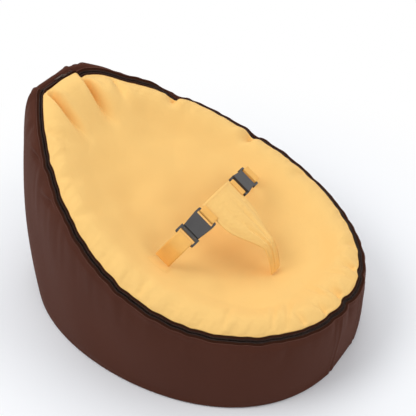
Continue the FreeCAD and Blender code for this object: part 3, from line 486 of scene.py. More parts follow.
def fabric(name, colour, thread, variation, rough, sheen, weave_depth, crease_depth,
           crease_size=60.0, by_uv=True, sheen_tint=None, specular=0.25):
    """Woven cloth: threads with painted shade in the gaps between them, slow colour variation, fine
    creases and a soft sheen.
    """
    n = new_nodes(name)
    place = n.place()
    parts = n.split(n.uv() if by_uv else place)
    weave = n.weave(parts[0], parts[1] if by_uv else n.plus(parts[1], parts[2]), thread)
    slow = n.noise(place, 9.0, 3.0)
    fine = n.noise(place, 420.0, 2.0, 0.6)
    tone = n.tones(slow, colour, (0.25, 1 - variation), (0.75, 1 + variation))
    # Painted shade: the colour darkens towards 0.6 in the gaps between the threads, where the weave
    # is low.
    threads = n.mix(n.times(n.inverse(weave), 0.28), tone, shade(colour, 0.6))
    creases = n.bump(n.noise(place, crease_size, 4.0, 0.55), 0.5, crease_depth)
    return n.finish({
        "Base Color": n.mix(n.times(fine, 0.14), threads, shade(colour, 1.35)),
        "Roughness": n.plus(rough - 0.06, n.times(fine, 0.12)),
        "Sheen Weight": sheen,
        "Sheen Roughness": 0.4,
        "Sheen Tint": sheen_tint or shade(colour, 1.2),
        "Specular IOR Level": specular,
        "Normal": n.bump(weave, 0.6, weave_depth, creases)})


def thread_material(name, colour):
    """Sewing thread: twisted plies, with painted shade in the grooves between them and a painted
    highlight on their crests.
    """
    n = new_nodes(name)
    inputs = {"Vector": n.place(), "Scale": 500.0, "Distortion": 1.0}
    wave = n.add("TexWave", inputs, wave_type="BANDS",
                 bands_direction="DIAGONAL").outputs["Fac"]
    return n.finish({
        # Painted shade and highlight: the colour is darker in the grooves between the plies and
        # lighter on their crests, following the bump.
        "Base Color": n.tones(wave, colour, (0.0, 0.7), (1.0, 1.15)),
        "Roughness": 0.6,
        "Normal": n.bump(wave, 0.4, 0.0001)})


def webbing(name, colour):
    """Ribbed webbing: lengthwise cords crossed by fine weft, with painted shade in the grooves
    between them.
    """
    n = new_nodes(name)
    parts = n.split(n.uv())
    cords = n.math("ABSOLUTE", n.wave(parts[1], 0.0022))
    weft = n.math("ABSOLUTE", n.wave(parts[0], 0.0011))
    height = n.plus(n.times(cords, 0.7), n.times(weft, 0.3))
    slow = n.noise(n.place(), 40.0, 3.0)
    tone = n.tones(slow, colour, (0.3, 0.93), (0.7, 1.06))
    return n.finish({
        # Painted shade: the colour darkens towards 0.6 in the grooves between the cords and the
        # weft, where the bump is low.
        "Base Color": n.mix(n.times(n.inverse(height), 0.4), tone, shade(colour, 0.6)),
        "Roughness": n.plus(0.62, n.times(slow, 0.1)),
        "Sheen Weight": 0.2,
        "Sheen Tint": shade(colour, 1.2),
        "Specular IOR Level": 0.35,
        "Normal": n.bump(height, 0.7, 0.0004)})


def hard(name, colour, wear_size, stops, rough, rough_wear, metallic=0.0, grain=None):
    """Moulded plastic or lacquered metal, worn lighter in places; grain is the plastic's."""
    n = new_nodes(name)
    place = n.place()
    slow = n.noise(place, *wear_size)
    relief = (n.noise(place, 2600.0), grain, 0.0001) if grain else (slow, 0.15, 0.0002)
    return n.finish({
        "Base Color": n.tones(slow, colour, *stops),
        "Roughness": n.plus(rough, n.times(slow, rough_wear)),
        "Metallic": metallic,
        "Normal": n.bump(*relief)})


brown_cloth = fabric("brown_fabric", linear(79, 43, 31), thread=0.0011, variation=0.06,
                     rough=0.72, sheen=0.05, weave_depth=0.00025, crease_depth=0.0014,
                     crease_size=30.0, sheen_tint=linear(190, 120, 100), specular=0.11)
ORANGE_WEAVE = dict(thread=0.0007, by_uv=False, sheen=0.25, sheen_tint=linear(255, 225, 170),
                    weave_depth=0.0001)
orange_cloth = fabric("orange_fabric", linear(252, 203, 124), variation=0.02, rough=0.9,
                      crease_depth=0.001, crease_size=48.0, **ORANGE_WEAVE)
pad_cloth = fabric("orange_pad_fabric", linear(255, 203, 122), variation=0.03, rough=0.88,
                   crease_depth=0.0006, crease_size=90.0, **ORANGE_WEAVE)
tape_cloth = fabric("zip_tape", linear(54, 28, 17), thread=0.0006, variation=0.1, rough=0.85,
                    sheen=0.02, weave_depth=0.00012, crease_depth=0.0002, specular=0.06)
orange_webbing = webbing("orange_webbing", linear(252, 189, 98))
brown_thread = thread_material("brown_thread", linear(98, 66, 56))
orange_thread = thread_material("orange_thread", linear(250, 196, 120))
dark_thread = thread_material("dark_thread", linear(40, 29, 23))
THREAD_SLOTS = {"brown_thread": "brown_fabric", "orange_thread": "orange_fabric",
                "dark_thread": "zip_tape"}
MOULDED = dict(wear_size=(60.0, 3.0), stops=((0.3, 0.9), (0.7, 1.12)), rough_wear=0.1)
buckle_plastic = hard("buckle_plastic", linear(58, 56, 56), rough=0.37, grain=0.35, **MOULDED)
coil_plastic = hard("zip_coil", linear(52, 28, 18), rough=0.35, grain=0.1, **MOULDED)
zip_metal = hard("zip_metal", linear(84, 72, 64), wear_size=(180.0, 4.0), rough=0.22,
                 stops=((0.35, 0.85), (0.8, 1.5)), rough_wear=0.2, metallic=0.85)

# -------- brown bag
WALL_ROWS, LOWEST_WALL = 84, 0.0012
# Rings of the base, from the middle out: inset from the wall, height.
BASE_RINGS = ((0.030, 0.0), (0.010, 0.0), (0.004, 0.0004))
# The hem on the zip tape, and the line of stitches on it: across and above the band.
SHELL_HEM = ((-0.0104, 0.0019), (-0.0097, 0.0024), (-0.0088, 0.0022), (-0.0081, 0.0015),
             (-0.0081, 0.0009), (-0.0090, 0.0007))
SHELL_STITCHES = (-0.0094, 0.00245)
# Slow dents from the beads and fine wrinkles under the zip: seed, wavelength, size.
BEADS, WRINKLES = (3, 0.24, 0.0022), (5, 0.09, 0.0004)
# The groove of a seam, and the cloth that is turned under beside it: place, height, half width.
SEAM = ((0.0, -0.0012, 0.0022), (0.006, 0.0009, 0.004))
# Folds that run down from the zip: side, place along the bag, depth, half width, reach, slant.
CREASES = ((-1, 0.245, 0.0052, 0.011, 0.045, 1.5), (-1, 0.168, 0.0052, 0.012, 0.05, 1.4),
           (-1, 0.3, 0.002, 0.009, 0.08, 0.4), (-1, 0.02, 0.001, 0.016, 0.12, 0.3),
           (-1, -0.33, 0.0016, 0.012, 0.08, 0.2), (1, 0.215, 0.0032, 0.01, 0.12, 0.2),
           (1, 0.12, 0.002, 0.011, 0.1, -0.3), (1, -0.1, 0.0016, 0.014, 0.13, 0.2),
           (1, -0.295, 0.0022, 0.012, 0.09, -0.2), (1, 0.3, 0.0026, 0.009, 0.11, 0.1))


def wall_frame():
    """The base ring, the top ring and the outward direction for every column."""
    base = outline(RING_W, BASE_HEAD_Y, BASE_FOOT_Y, BASE_HALF_WIDTH, BASE_TAPER, 0.0)
    base = np.column_stack([*base, np.full(COLUMNS, WALL_FOOT_Z)])
    plan = np.stack(rim_plan(RING_W), 1)
    run = unit(np.stack(rim_plan(RING_W + 0.01), 1) - np.stack(rim_plan(RING_W - 0.01), 1))
    ends = np.column_stack([np.zeros(COLUMNS), -np.sign(np.cos(RING_W))])
    inward = np.where(ON_RUN[:, None], ends, np.column_stack([run[:, 1], -run[:, 0]]))
    inward[:, 0] *= np.where(RING_SHARE < 0, -1, 1)
    base[:, 0] *= RING_SHARE
    plan[:, 0] *= RING_SHARE
    across, above = -SHELL_EDGE, SHELL_LIFT
    level = inward * (math.cos(BAND_SLOPE) * across - math.sin(BAND_SLOPE) * above)
    lift = math.sin(BAND_SLOPE) * across + math.cos(BAND_SLOPE) * above
    top = np.column_stack([plan + level, rim_z(plan[:, 1]) + lift])
    return base, top, np.column_stack([-inward, np.zeros(COLUMNS)])


def by_end(values):
    """One value for each column, from values for the head, the sides and the foot."""
    head, side, foot = values
    cosine = np.cos(RING_W)
    at_head, at_foot = np.maximum(cosine, 0) ** 2, np.maximum(-cosine, 0) ** 2
    return side + (head - side) * at_head + (foot - side) * at_foot


def shell_relief(points, down, rises):
    """How far the cloth stands off its smooth form: beads, pull folds and seams."""
    y, side = points[-1, :, 1], np.sign(points[-1, :, 0])
    along = rim.along[None, :]
    (seed, size, height), (fine_seed, fine_size, fine_height) = BEADS, WRINKLES
    fine = field_noise(fine_seed, along, down * 0.6, fine_size) * fine_height
    relief = field_noise(seed, along * 0.8, down, size) * height
    relief = (relief + fine * (1 - smooth(0.02, 0.12, down))) * smooth(0.0, 0.10, rises)[:, None]
    for which, place, depth, width, reach, slant in CREASES:
        chosen = np.where(side == which)[0]
        column = chosen[np.argmin(np.abs(y[chosen] - place))]
        offset = along - rim.along[column] - slant * down
        fold = -hill(offset, width) + 0.6 * hill(offset - 1.6 * width, width)
        relief = relief + depth * fold * (1 - smooth(0.2 * reach, reach, down))
    for column in SEAMS:
        gap = np.abs(along - rim.along[column])
        relief = relief + hills(np.minimum(gap, rim.length - gap), SEAM)
    return relief * smooth(0.0, 0.014, down)


def bag_shell():
    """The brown shell: soft walls, shoulders over the zip, a hem on the zip tape, and the base."""
    base, top, out = wall_frame()
    rises = 1 - (1 - np.linspace(0, 1, WALL_ROWS)) ** 1.35
    middle = (base + top) / 2 + out * by_end(BULGES)[:, None]
    shoulder = by_end(SHOULDERS)[:, None] * SHOULDER_PEAK
    collar = (by_end(COLLARS) * rim.collar + rim.dip) * COLLAR_PEAK
    shift = rim.at(-SHELL_EDGE, SHELL_LIFT) - soften(top, 0.005)
    rings = []
    for rise in rises:
        ring = base * ((1 - rise) * (1 - 2 * rise)) + middle * (4 * rise * (1 - rise))
        over = shoulder * rise ** 6 * (1 - rise ** 2)
        ring = ring + top * (rise * (2 * rise - 1)) + out * over
        ring[:, 2] += collar * rise ** 14 * (1 - rise ** 2)
        rings.append(soften(ring, 0.011 - 0.006 * rise) + shift * smooth(0.55, 1.0, rise))
    rings = np.stack(rings)
    height = distances(rings)
    normal = unit(np.cross(tangents(rings, 1), np.gradient(rings, axis=0)))
    normal *= np.sign(np.sum(normal * out[None], axis=2).mean())
    relief = shell_relief(rings, height[-1:] - height, rises)
    points = rings + normal * relief[:, :, None]
    points[:, :, 2] = np.maximum(points[:, :, 2], LOWEST_WALL)
    foot = np.stack([points[0] - out * inset for inset, _ in BASE_RINGS])
    foot[:, :, 2] = [[z] for _, z in BASE_RINGS]
    centre = np.tile(points[0].mean(axis=0) * [0, 1, 0], (COLUMNS, 1))
    hem = [rim.at(*place) for place in SHELL_HEM]
    stack = np.concatenate([centre[None], foot, points, np.stack(hem)])
    v = distances(stack)
    shell = ring_mesh("bag_shell", stack, v - v[len(BASE_RINGS) + 1], brown_cloth, tube=False)
    for number, column in enumerate(SEAMS):
        for aside in (-5, 5):
            chosen = slice(4, -3), (column + aside) % COLUMNS
            stitches("seam_stitches_%d_%d" % (number, aside + 5), points[chosen],
                     normal[chosen], brown_thread, closed=False)
    stitches("hem_stitches_shell", rim.at(*SHELL_STITCHES), rim.up, brown_thread)
    return shell


# -------- seat cover
COVER_COLUMNS, COVER_ROWS = np.arange(0, COLUMNS, 3), 56
# The middle line of the cover runs between these places.
SPINE_FOOT_Y, SPINE_HEAD_Y = -0.245, 0.205
COVER_HEM = ((0.0087, 0.0007), (0.0079, 0.0012), (0.0082, 0.0022), (0.0091, 0.0030))
COVER_STITCHES = (0.0088, 0.0029)
# Gathers along the zip: seed, wavelength, height, place from the zip, half width.
NARROW, BROAD = (11, 0.042, 0.0017, 0.016, 0.020), (13, 0.12, 0.0026, 0.03, 0.034)
# Unevenness of the beads under the cover: seed, wavelength, height, reach of its start.
LUMPS = ((23, 0.17, 0.0035, 0.10), (29, 0.06, 0.0009, 0.08))
LOBE_X, LOBE_Y, LOBE_HALF_WIDTH, LOBE_HALF_LENGTH, LOBE_HEIGHT = -0.010, 0.290, 0.034, 0.045, 0.009
# Where the first rows of the cover bulge over the zip: their share of the bulge.
OVERHANG, OVERHANG_SHARES = 0.0023, (0.7, 1.0, 0.9, 0.6, 0.3)
PINNED_EDGE, HELD, SLACK_REACH = 0.003, 0.42, 0.11
# Folds of the cover, from the zip inwards: start x and y, end x and y, depth, half width.
FOLDS = ((-0.06, 0.335, -0.058, 0.205, 0.031, 0.009), (0.04, 0.33, 0.024, 0.205, 0.035, 0.01),
         (0.105, 0.285, 0.07, 0.215, 0.009, 0.01), (-0.135, 0.275, -0.105, 0.215, 0.006, 0.01),
         (0.2, 0.192, 0.155, 0.165, 0.012, 0.01), (0.27, 0.022, 0.215, 0.01, 0.011, 0.01),
         (-0.06, -0.365, -0.052, -0.315, 0.009, 0.008), (-0.004, -0.372, 0.0, -0.318, 0.012, 0.008),
         (0.086, -0.36, 0.07, -0.305, 0.01, 0.008), (-0.112, -0.345, -0.095, -0.29, 0.006, 0.007),
         (0.15, -0.33, 0.125, -0.28, 0.005, 0.008), (-0.235, 0.12, -0.19, 0.1, 0.004, 0.01),
         (-0.262, -0.06, -0.215, -0.055, 0.0035, 0.01), (0.262, -0.12, 0.215, -0.105, 0.005, 0.009),
         (-0.155, -0.29, -0.085, -0.255, 0.003, 0.005), (-0.13, -0.31, -0.06, -0.27, 0.0028, 0.005),
         (-0.03, -0.345, -0.012, -0.275, 0.003, 0.005), (0.05, -0.35, 0.035, -0.285, 0.003, 0.005),
         (-0.205, -0.215, -0.14, -0.195, 0.0025, 0.006), (-0.2, 0.19, -0.15, 0.165, 0.003, 0.008))
HIGHEST_RIDGE = 0.0035


def cover_z(x, y, from_edge, edge_z):
    """Height of the cover, from a point's distance to the zip and the zip's height there."""
    reach = np.where(y > HOLLOW_Y, HOLLOW_HEAD, HOLLOW_FOOT)
    away = np.minimum(np.hypot(x / HOLLOW_HALF_WIDTH, (y - HOLLOW_Y) / reach), 1.0)
    inside = np.minimum(from_edge / ROLL_WIDTH, 1.0)
    puff = ROLL_HEIGHT * ROLL_PEAK * inside * (1 - inside) ** 2
    fade = np.minimum(from_edge / (0.4 * ROLL_WIDTH), 1.0)
    return edge_z + puff - HOLLOW_DEPTH * fade * (0.5 + 0.5 * np.cos(math.pi * away ** 1.6))


def fold_depth(x, y):
    """Depth of the folds that run from the zip into the hollow."""
    total = np.zeros(x.shape)
    for x1, y1, x2, y2, depth, width in FOLDS:
        run = np.array([x2 - x1, y2 - y1])
        length = np.hypot(*run)
        run = run / length
        along = (x - x1) * run[0] + (y - y1) * run[1]
        aside = (x - x1) * run[1] - (y - y1) * run[0]
        spread = width * (0.6 + 0.9 * np.clip(along / length, 0, 1))
        fade = smooth(-0.03, 0.0, along) * (1 - smooth(0.3 * length, length, along))
        ridge = min(0.4 * depth, HIGHEST_RIDGE) * smooth(0.0, 0.04, along)
        ridge = ridge * hill(np.abs(aside) - 2.1 * spread, spread)
        total += fade * (depth * hill(aside, spread) - ridge)
    return total


def cover_points():
    """Rings of the cover from its edge by the zip to the middle line."""
    edge = rim.even[COVER_COLUMNS]
    order = np.argsort(edge[:, 1])
    spine_y = np.clip(edge[:, 1], SPINE_FOOT_Y, SPINE_HEAD_Y)
    spine = np.column_stack([np.zeros(len(edge)), spine_y])
    shares = (np.linspace(0, 1, COVER_ROWS) ** 1.12)[:, None, None]
    plan = edge[None, :, :2] * (1 - shares) + spine[None] * shares
    x, y = plan[:, :, 0], plan[:, :, 1]
    to_edge = np.linalg.norm(plan - edge[None, :, :2], axis=2)
    level = np.interp(y, edge[order, 1], edge[order, 2])
    body = np.dstack([plan, cover_z(x, y, to_edge, level)])
    shift = (rim.at(COVER_EDGE, COVER_LIFT) + rim.drop - rim.even)[COVER_COLUMNS]
    return body + shift[None] * (1 - smooth(0.0, 0.07, to_edge))[:, :, None]


def puckers(body):
    """Gathers along the zip, folds into the hollow and the slow unevenness of the beads."""
    x, y = body[:, :, 0], body[:, :, 1]
    from_edge = np.linalg.norm(body - body[:1], axis=2)
    narrow, broad = (rim.closed_noise(*kind[:2])[COVER_COLUMNS] for kind in (NARROW, BROAD))
    strong = 0.6 + 0.4 * rim.closed_noise(17, 0.35)[COVER_COLUMNS]
    front = 0.75 - 0.4 * smooth(0.20, 0.29, y[0])
    lift = 0.0
    for noise, (_, _, height, place, width) in ((narrow, NARROW), (broad, BROAD)):
        lift = lift + noise * height * hill(from_edge - place, width)
    lift = lift * strong * front * smooth(0.0, 0.006, from_edge)
    for seed, size, height, reach in LUMPS:
        lift = lift + field_noise(seed, x, y, size) * height * smooth(0.02, reach, from_edge)
    lobe = hill(x - LOBE_X, LOBE_HALF_WIDTH) * hill(y - LOBE_Y, LOBE_HALF_LENGTH)
    lift = lift + LOBE_HEIGHT * lobe
    body[:, :, 2] += lift - fold_depth(x, y) * smooth(0.0, 0.012, from_edge)
    over = np.clip(broad + 0.7 * narrow, -0.9, 1.8) * OVERHANG * strong * front
    for row, share in enumerate(OVERHANG_SHARES, start=1):
        body[row] -= rim.inward[COVER_COLUMNS] * (over * share)[:, None]
    return body


def vertex_places(obj):
    places = np.zeros(len(obj.data.vertices) * 3)
    obj.data.vertices.foreach_get("co", places)
    return places.reshape(-1, 3)


def evaluated(obj):
    return obj.evaluated_get(bpy.context.evaluated_depsgraph_get())


def run_cloth(obj, hold, slack, frames, cap, stiffness, **settings):
    """Simulate a piece as cloth, cap how far a point moves, and keep the result.

    hold and slack give each point's pinning and its share of spare cloth.
    """
    settings.update(quality=5, tension_stiffness=stiffness, compression_stiffness=stiffness,
                    pin_stiffness=0.5, shrink_max=0.0)
    start = vertex_places(obj)
    for name, weights in (("hold", hold), ("tight", 1 - np.asarray(slack))):
        group = obj.vertex_groups.new(name=name)
        for number, weight in enumerate(weights):
            group.add([number], float(weight), "REPLACE")
    modifier = obj.modifiers.new("cloth", "CLOTH")
    cloth = modifier.settings
    cloth.effector_weights.gravity = 0.0
    cloth.vertex_group_mass = "hold"
    cloth.vertex_group_shrink = "tight"
    for key, value in settings.items():
        setattr(cloth, key, value)
    modifier.point_cache.frame_start = 1
    modifier.point_cache.frame_end = frames
    for number in range(1, frames + 1):
        scene.frame_set(number)
    move = vertex_places(evaluated(obj)) - start
    obj.modifiers.clear()
    scene.frame_set(1)
    size = np.linalg.norm(move, axis=1)
    scale = np.where(size > cap, cap / np.maximum(size, 1e-9), 1.0)
    obj.data.vertices.foreach_set("co", (start + move * scale[:, None]).ravel())
    obj.data.update()


def subdivide(obj):
    """One level of subdivision, applied."""
    modifier = obj.modifiers.new("round", "SUBSURF")
    modifier.levels = 1
    mesh = bpy.data.meshes.new_from_object(evaluated(obj))
    obj.modifiers.clear()
    obj.data = mesh
    shade_smooth(mesh)


def seat_cover():
    """The padded cover, gathered on to the zip and eased by a cloth simulation."""
    body = puckers(cover_points())
    hem = np.stack([rim.at(*place) for place in COVER_HEM]) + rim.drop
    points = np.concatenate([hem[:, COVER_COLUMNS], body])
    faces = grid_faces(len(points), len(COVER_COLUMNS), close_columns=True)
    obj = clean(mesh_object("cover_cloth", points.reshape(-1, 3), faces, orange_cloth), 0.0007)
    edge = body[0][None, :, :2]
    away = np.concatenate([np.linalg.norm(part[:, None, :2] - edge, axis=2).min(1)
                           for part in np.array_split(vertex_places(obj), 12)])
    run_cloth(obj, np.where(away < PINNED_EDGE, 1.0, HELD),
              np.clip(1 - away / SLACK_REACH, 0, 1), frames=22, cap=0.009, stiffness=12,
              shear_stiffness=6, bending_stiffness=0.6, mass=0.25, shrink_min=-0.016)
    subdivide(obj)
    stitches("hem_stitches_cover", rim.at(*COVER_STITCHES) + rim.drop, rim.up, orange_thread)
    return obj


# -------- zip
TAPE_NEAR, TAPE_FAR, TAPE_THICKNESS, TAPE_CURL = 0.0026, 0.0095, 0.0008, 0.0002
TAPE_STITCHES = (0.0033, 0.00065)
COIL_PITCH, COIL_RADIUS = 0.0021, 0.00036
COIL_MIDDLE, COIL_HALF_WIDTH, COIL_HALF_HEIGHT = 0.0018, 0.0011, 0.00075
# The inner tape's lower edge, which turns down behind the slider to the cover's hem: across and
# above the band, and the share of the cover's drop at the head.
FACING = ((0.0090, 0.0002, 0.0), (0.0094, 0.0001, 0.45), (0.0092, 0.0004, 1.0),
          (0.0086, -0.0003, 1.0), (0.0086, -0.0005, 0.45), (0.0084, -0.0003, 0.0))
FACING_ROUND = 0.02


def tape_ring(name, profile, v=None):
    """A strip of tape round the rim, from its profile's places as in FACING."""
    rows = [rim.at(across, above) + rim.drop * share for across, above, share in profile]
    v = [across for across, _, _ in profile] if v is None else v
    return ring_mesh(name, rows, np.array(v)[:, None], tape_cloth)


def tape_profile(low, high):
    """Both faces of a zip tape that lies between two places across the band."""
    shares, half = np.linspace(0, 1, 7), TAPE_THICKNESS / 2
    return [(low + (high - low) * s, face + TAPE_CURL * math.sin(math.pi * s), 0.0)
            for face, order in ((half, shares), (-half, shares[::-1])) for s in order]


def coil_ring(name, side):
    """One row of coil teeth: a nylon spiral that runs round the rim, sewn to its tape."""
    steps, sides = 8, 5
    turns = int(rim.length / COIL_PITCH)
    count = turns * steps
    t = np.arange(count) / steps
    index = t / turns * COLUMNS
    low = np.floor(index).astype(int) % COLUMNS
    share = (index - np.floor(index))[:, None]
    centre, slope, up = (values[low] * (1 - share) + values[(low + 1) % COLUMNS] * share
                         for values in (rim.points, rim.slope, rim.up))
    turn = 2 * np.pi * t
    across = side * (COIL_MIDDLE + COIL_HALF_WIDTH * np.cos(turn))
    line = centre + slope * across[:, None] + up * (COIL_HALF_HEIGHT * np.sin(turn))[:, None]
    ahead = unit(tangents(line))
    first = unit(np.cross(ahead, up))
    second = np.cross(first, ahead)
    stack = np.stack([line + first * (COIL_RADIUS * math.cos(a))
                      + second * (COIL_RADIUS * math.sin(a))
                      for a in 2 * np.pi * np.arange(sides) / sides])
    faces = grid_faces(sides, count, close_rows=True, close_columns=True)
    return mesh_object(name, stack.reshape(-1, 3), faces, coil_plastic)


# -------- harness
ACROSS = Vector((1, 0, 0))
UP_SEAT = Vector((0, math.cos(HARNESS_TILT), math.sin(HARNESS_TILT)))
OUT = Vector((0, -math.sin(HARNESS_TILT), math.cos(HARNESS_TILT)))
HALF_BELT = WEBBING / 2
FEMALE_BAR_X = -HOUSING_HALF - SLOT_LENGTH - BAR_RADIUS
MALE_GAP, MALE_PLATE = 0.0005, 0.007
MALE_BAR_X = HOUSING_HALF + MALE_GAP + MALE_PLATE + SLOT_LENGTH + BAR_RADIUS
LOOP_SIDE = BAR_RADIUS + CLEARANCE + HALF_BELT
LOOP_HEIGHT = FRAME_THICKNESS / 2 + CLEARANCE + HALF_BELT
LOOP_BEND = HALF_BELT + 2 * CLEARANCE
ARM_REACH = 2 * BAR_RADIUS + 2 * WEBBING
PAD_ROOT_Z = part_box("crotch_pad")[0][2] + 0.0012
# Folds and fine ripples of the pad's cloth, and its line of stitches as a share of the width.
PAD_FOLD, PAD_RIPPLE, PAD_SEAM = 0.0046, 0.0006, 0.88
BELT_CUP = 0.0006
# The tab's height over the cover, its thinner corners, and its stitches.
TAB_HEIGHT, TAB_CORNER, TAB_STITCHES, TAB_SHIFT = 0.0016, 0.0013, 0.0015, 0.006


def pad_line(v):
    """The pad's middle line from its top edge to its root on the seat."""
    top = CROWN + UP_SEAT * PAD_TOP
    bend = CROWN - UP_SEAT * PAD_LENGTH
    root = Vector((0, bend.y - PAD_ROOT_RUN, PAD_ROOT_Z))
    if v < 0.7:
        return top + (bend - top) * (v / 0.8)
    start = top + (bend - top) * 0.875
    t = (v - 0.7) / 0.3
    return start * (1 - t) ** 2 + bend * (2 * t * (1 - t)) + root * t ** 2


def pad_point(v, u, side, swell=1.0):
    """A point of the pad's outer (side 1) or inner (side -1) face, and the way off the face."""
    width = PAD_HALF_WIDTH + (PAD_CROTCH - PAD_HALF_WIDTH) * float(smooth(0.3, 0.8, v))
    run = (pad_line(min(v + 0.01, 1.0)) - pad_line(max(v - 0.01, 0.0))).normalized()
    normal = run.cross(ACROSS)
    if normal.z < 0:
        normal = -normal
    sag = PAD_ARCH * width / PAD_HALF_WIDTH * u * u * (1 - v ** 4)
    half = PAD_EDGE / 2 + swell * PAD_CROWN * (1 - u * u) * (1 - (2 * v - 1) ** 4)
    gather = float(smooth(-0.05, 0.45, v)) * (1 - 0.5 * float(smooth(0.7, 1.0, v)))
    fold = abs(math.cos(math.pi * (u * 1.9 + 0.1 + 0.08 * math.sin(7 * v)))) ** 0.8 - 0.6
    ridge = (fold * PAD_FOLD + math.sin(u * 17 + 5 * v) * PAD_RIPPLE) * gather * (1 - u ** 4)
    place = pad_line(v) + ACROSS * (u * width) - OUT * sag
    return place + normal * (side * half + ridge * (1 if side > 0 else 0.5)), normal


def crotch_pad():
    """The padded crotch piece: swollen cloth with gathered folds, and its stitched edges."""
    vs, us = np.linspace(0, 1, 61), np.linspace(-1, 1, 41)
    section = [(u, side) for side, row in ((1.0, us), (-1.0, us[::-1])) for u in row]
    points = [pad_point(v, u, side, 0.8)[0] for v in vs for u, side in section]
    hold = [1.0 if abs(u) > 0.86 or v < 0.03 or v > 0.88 else 0.5 for v in vs for u, _ in section]
    pad = mesh_object("crotch_pad_cloth", points, tube_faces(len(vs), len(section)), pad_cloth)
    run_cloth(pad, hold, [1.0] * len(points), frames=20, cap=0.004, stiffness=15,
              shear_stiffness=8, bending_stiffness=0.3, mass=0.2, shrink_min=-0.03,
              use_pressure=True, uniform_pressure_force=4.0)
    clean(pad)
    subdivide(pad)
    lengthwise, crosswise = np.linspace(0.03, 0.97, 90), np.linspace(-PAD_SEAM, PAD_SEAM, 40)
    for name, u in (("left", -PAD_SEAM), ("right", PAD_SEAM)):
        sewn("pad_stitches_" + name, [pad_point(v, u, 1) for v in lengthwise], 0.0003)
    sewn("pad_stitches_top", [pad_point(0.03, u, 1) for u in crosswise], 0.0004)
    return pad


def buckle_matrix(side):
    """The frame of the right (side 1) or left (-1) buckle: X away from the pad, Z off the seat."""
    x_axis = ACROSS * (side * math.cos(BUCKLE_TILT)) - OUT * math.sin(BUCKLE_TILT)
    y_axis = UP_SEAT * side
    edge = CROWN + ACROSS * (side * (PAD_HALF_WIDTH + CLEARANCE)) - OUT * PAD_ARCH
    matrix = Matrix((x_axis, y_axis, x_axis.cross(y_axis))).transposed().to_4x4()
    matrix.translation = edge + x_axis * (ARM_REACH - FEMALE_BAR_X)
    return matrix


def rounded_line(corners, radii, step=0.0008):
    """Even points of a line with rounded corners, with side directions and lengths."""
    points = [np.array(corner, dtype=float) for corner in corners]
    line = [points[0]]
    for before, here, after, radius in zip(points, points[1:], points[2:], radii):
        first, second = unit(here - before), unit(after - here)
        turn = math.atan2(first[0] * second[1] - first[1] * second[0], float(first @ second))
        cut = radius * math.tan(abs(turn) / 2)
        side = np.array([-first[1], first[0]]) * math.copysign(1, turn)
        centre = here - first * cut + side * radius
        begin = here - first * cut - centre
        start = math.atan2(begin[1], begin[0])
        for share in np.linspace(0, 1, 9):
            angle = start + turn * share
            line.append(centre + radius * np.array([math.cos(angle), math.sin(angle)]))
    line = np.array(line + [points[-1]])
    along = distances(line)
    keep = np.concatenate([[True], np.diff(along) > 1e-7])
    line, along = line[keep], along[keep]
    places = np.linspace(0, along[-1], max(int(along[-1] / step), 8))
    line = resample(places, along, line)
    ahead = unit(np.gradient(line, axis=0))
    return line, np.column_stack([-ahead[:, 1], ahead[:, 0]]), places


def belt(name, corners, radii, matrix, cup=0.0):
    """A webbing band along a line in the XZ plane of a buckle, with soft selvedges."""
    line, normals, places = rounded_line(corners, radii)
    across = np.linspace(-1, 1, 15)
    profile = [(a, 1.0) for a in across] + [(a, -1.0) for a in across[::-1]]
    points, uvs = [], []
    for (x, z), (nx, nz), place in zip(line, normals, places):
        hollow = cup * math.sin(place / places[-1] * math.pi)
        for a, face in profile:
            selvedge = min(1.0, (1 - abs(a)) * 9 + 0.35)
            lift = face * HALF_BELT * selvedge + hollow * (a * a - 0.4)
            aside = a * WEBBING_WIDTH / 2
            points.append(matrix @ Vector((x + nx * lift, aside, z + nz * lift)))
            uvs.append((place, aside))
    faces = tube_faces(len(line), len(profile))
    return clean(mesh_object(name, points, faces, orange_webbing, uvs), 1e-8), places[-1]


def bar_loop(bar_x, towards, reach):
    """Corners of a belt that goes round a bar and back, and leaves by the side towards."""
    far, near = bar_x + towards * reach, bar_x - towards * LOOP_SIDE
    return [(far, -LOOP_HEIGHT), (near, -LOOP_HEIGHT), (near, LOOP_HEIGHT), (far, LOOP_HEIGHT)]


def arm_strap(side, name):
    """The short strap loop from both faces of the pad's side round the female half's bar."""
    lap = 1 - STRAP_OVERLAP / PAD_HALF_WIDTH
    height = PAD_EDGE / 2 + PAD_CROWN * (1 - lap ** 2) + CLEARANCE + HALF_BELT
    end_x = FEMALE_BAR_X - ARM_REACH - STRAP_OVERLAP
    loop = bar_loop(FEMALE_BAR_X, -1, BAR_RADIUS + LOOP_BEND)
    return belt("arm_strap_cloth_" + name, [(end_x, -height)] + loop + [(end_x, height)],
                [LOOP_BEND] * 4, buckle_matrix(side))


def side_belt(side, name):
    """The belt from the male half's bar down to the cover, with both ends of its blend."""
    matrix = buckle_matrix(side)
    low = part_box("side_belt_" + name)[0]
    drop = (CROWN.z - UP_SEAT.z * WEBBING_WIDTH / 2 - low[2] + 0.001) / OUT.z
    local = matrix.inverted() @ (CROWN + ACROSS * (side * BELT_ANCHOR_X) - OUT * drop)
    corners = bar_loop(MALE_BAR_X, 1, BELT_RETURN)
    last = corners.pop()
    knee, foot = (last[0] + KNEE_REACH, last[1]), (local.x, local.z)
    turn = math.atan2(abs(foot[1] - knee[1]), foot[0] - knee[0])
    bend = KNEE_SHARE * min(math.dist(knee, foot), KNEE_REACH) / math.tan(turn / 2)
    band, length = belt("side_belt_cloth_" + name, corners + [knee, foot],
                        [LOOP_BEND, LOOP_BEND, bend], matrix, BELT_CUP)
    start, end = (matrix @ Vector((x, 0, z)) for x, z in (foot, (MALE_BAR_X + 0.004, 0)))
    return band, length, start, end


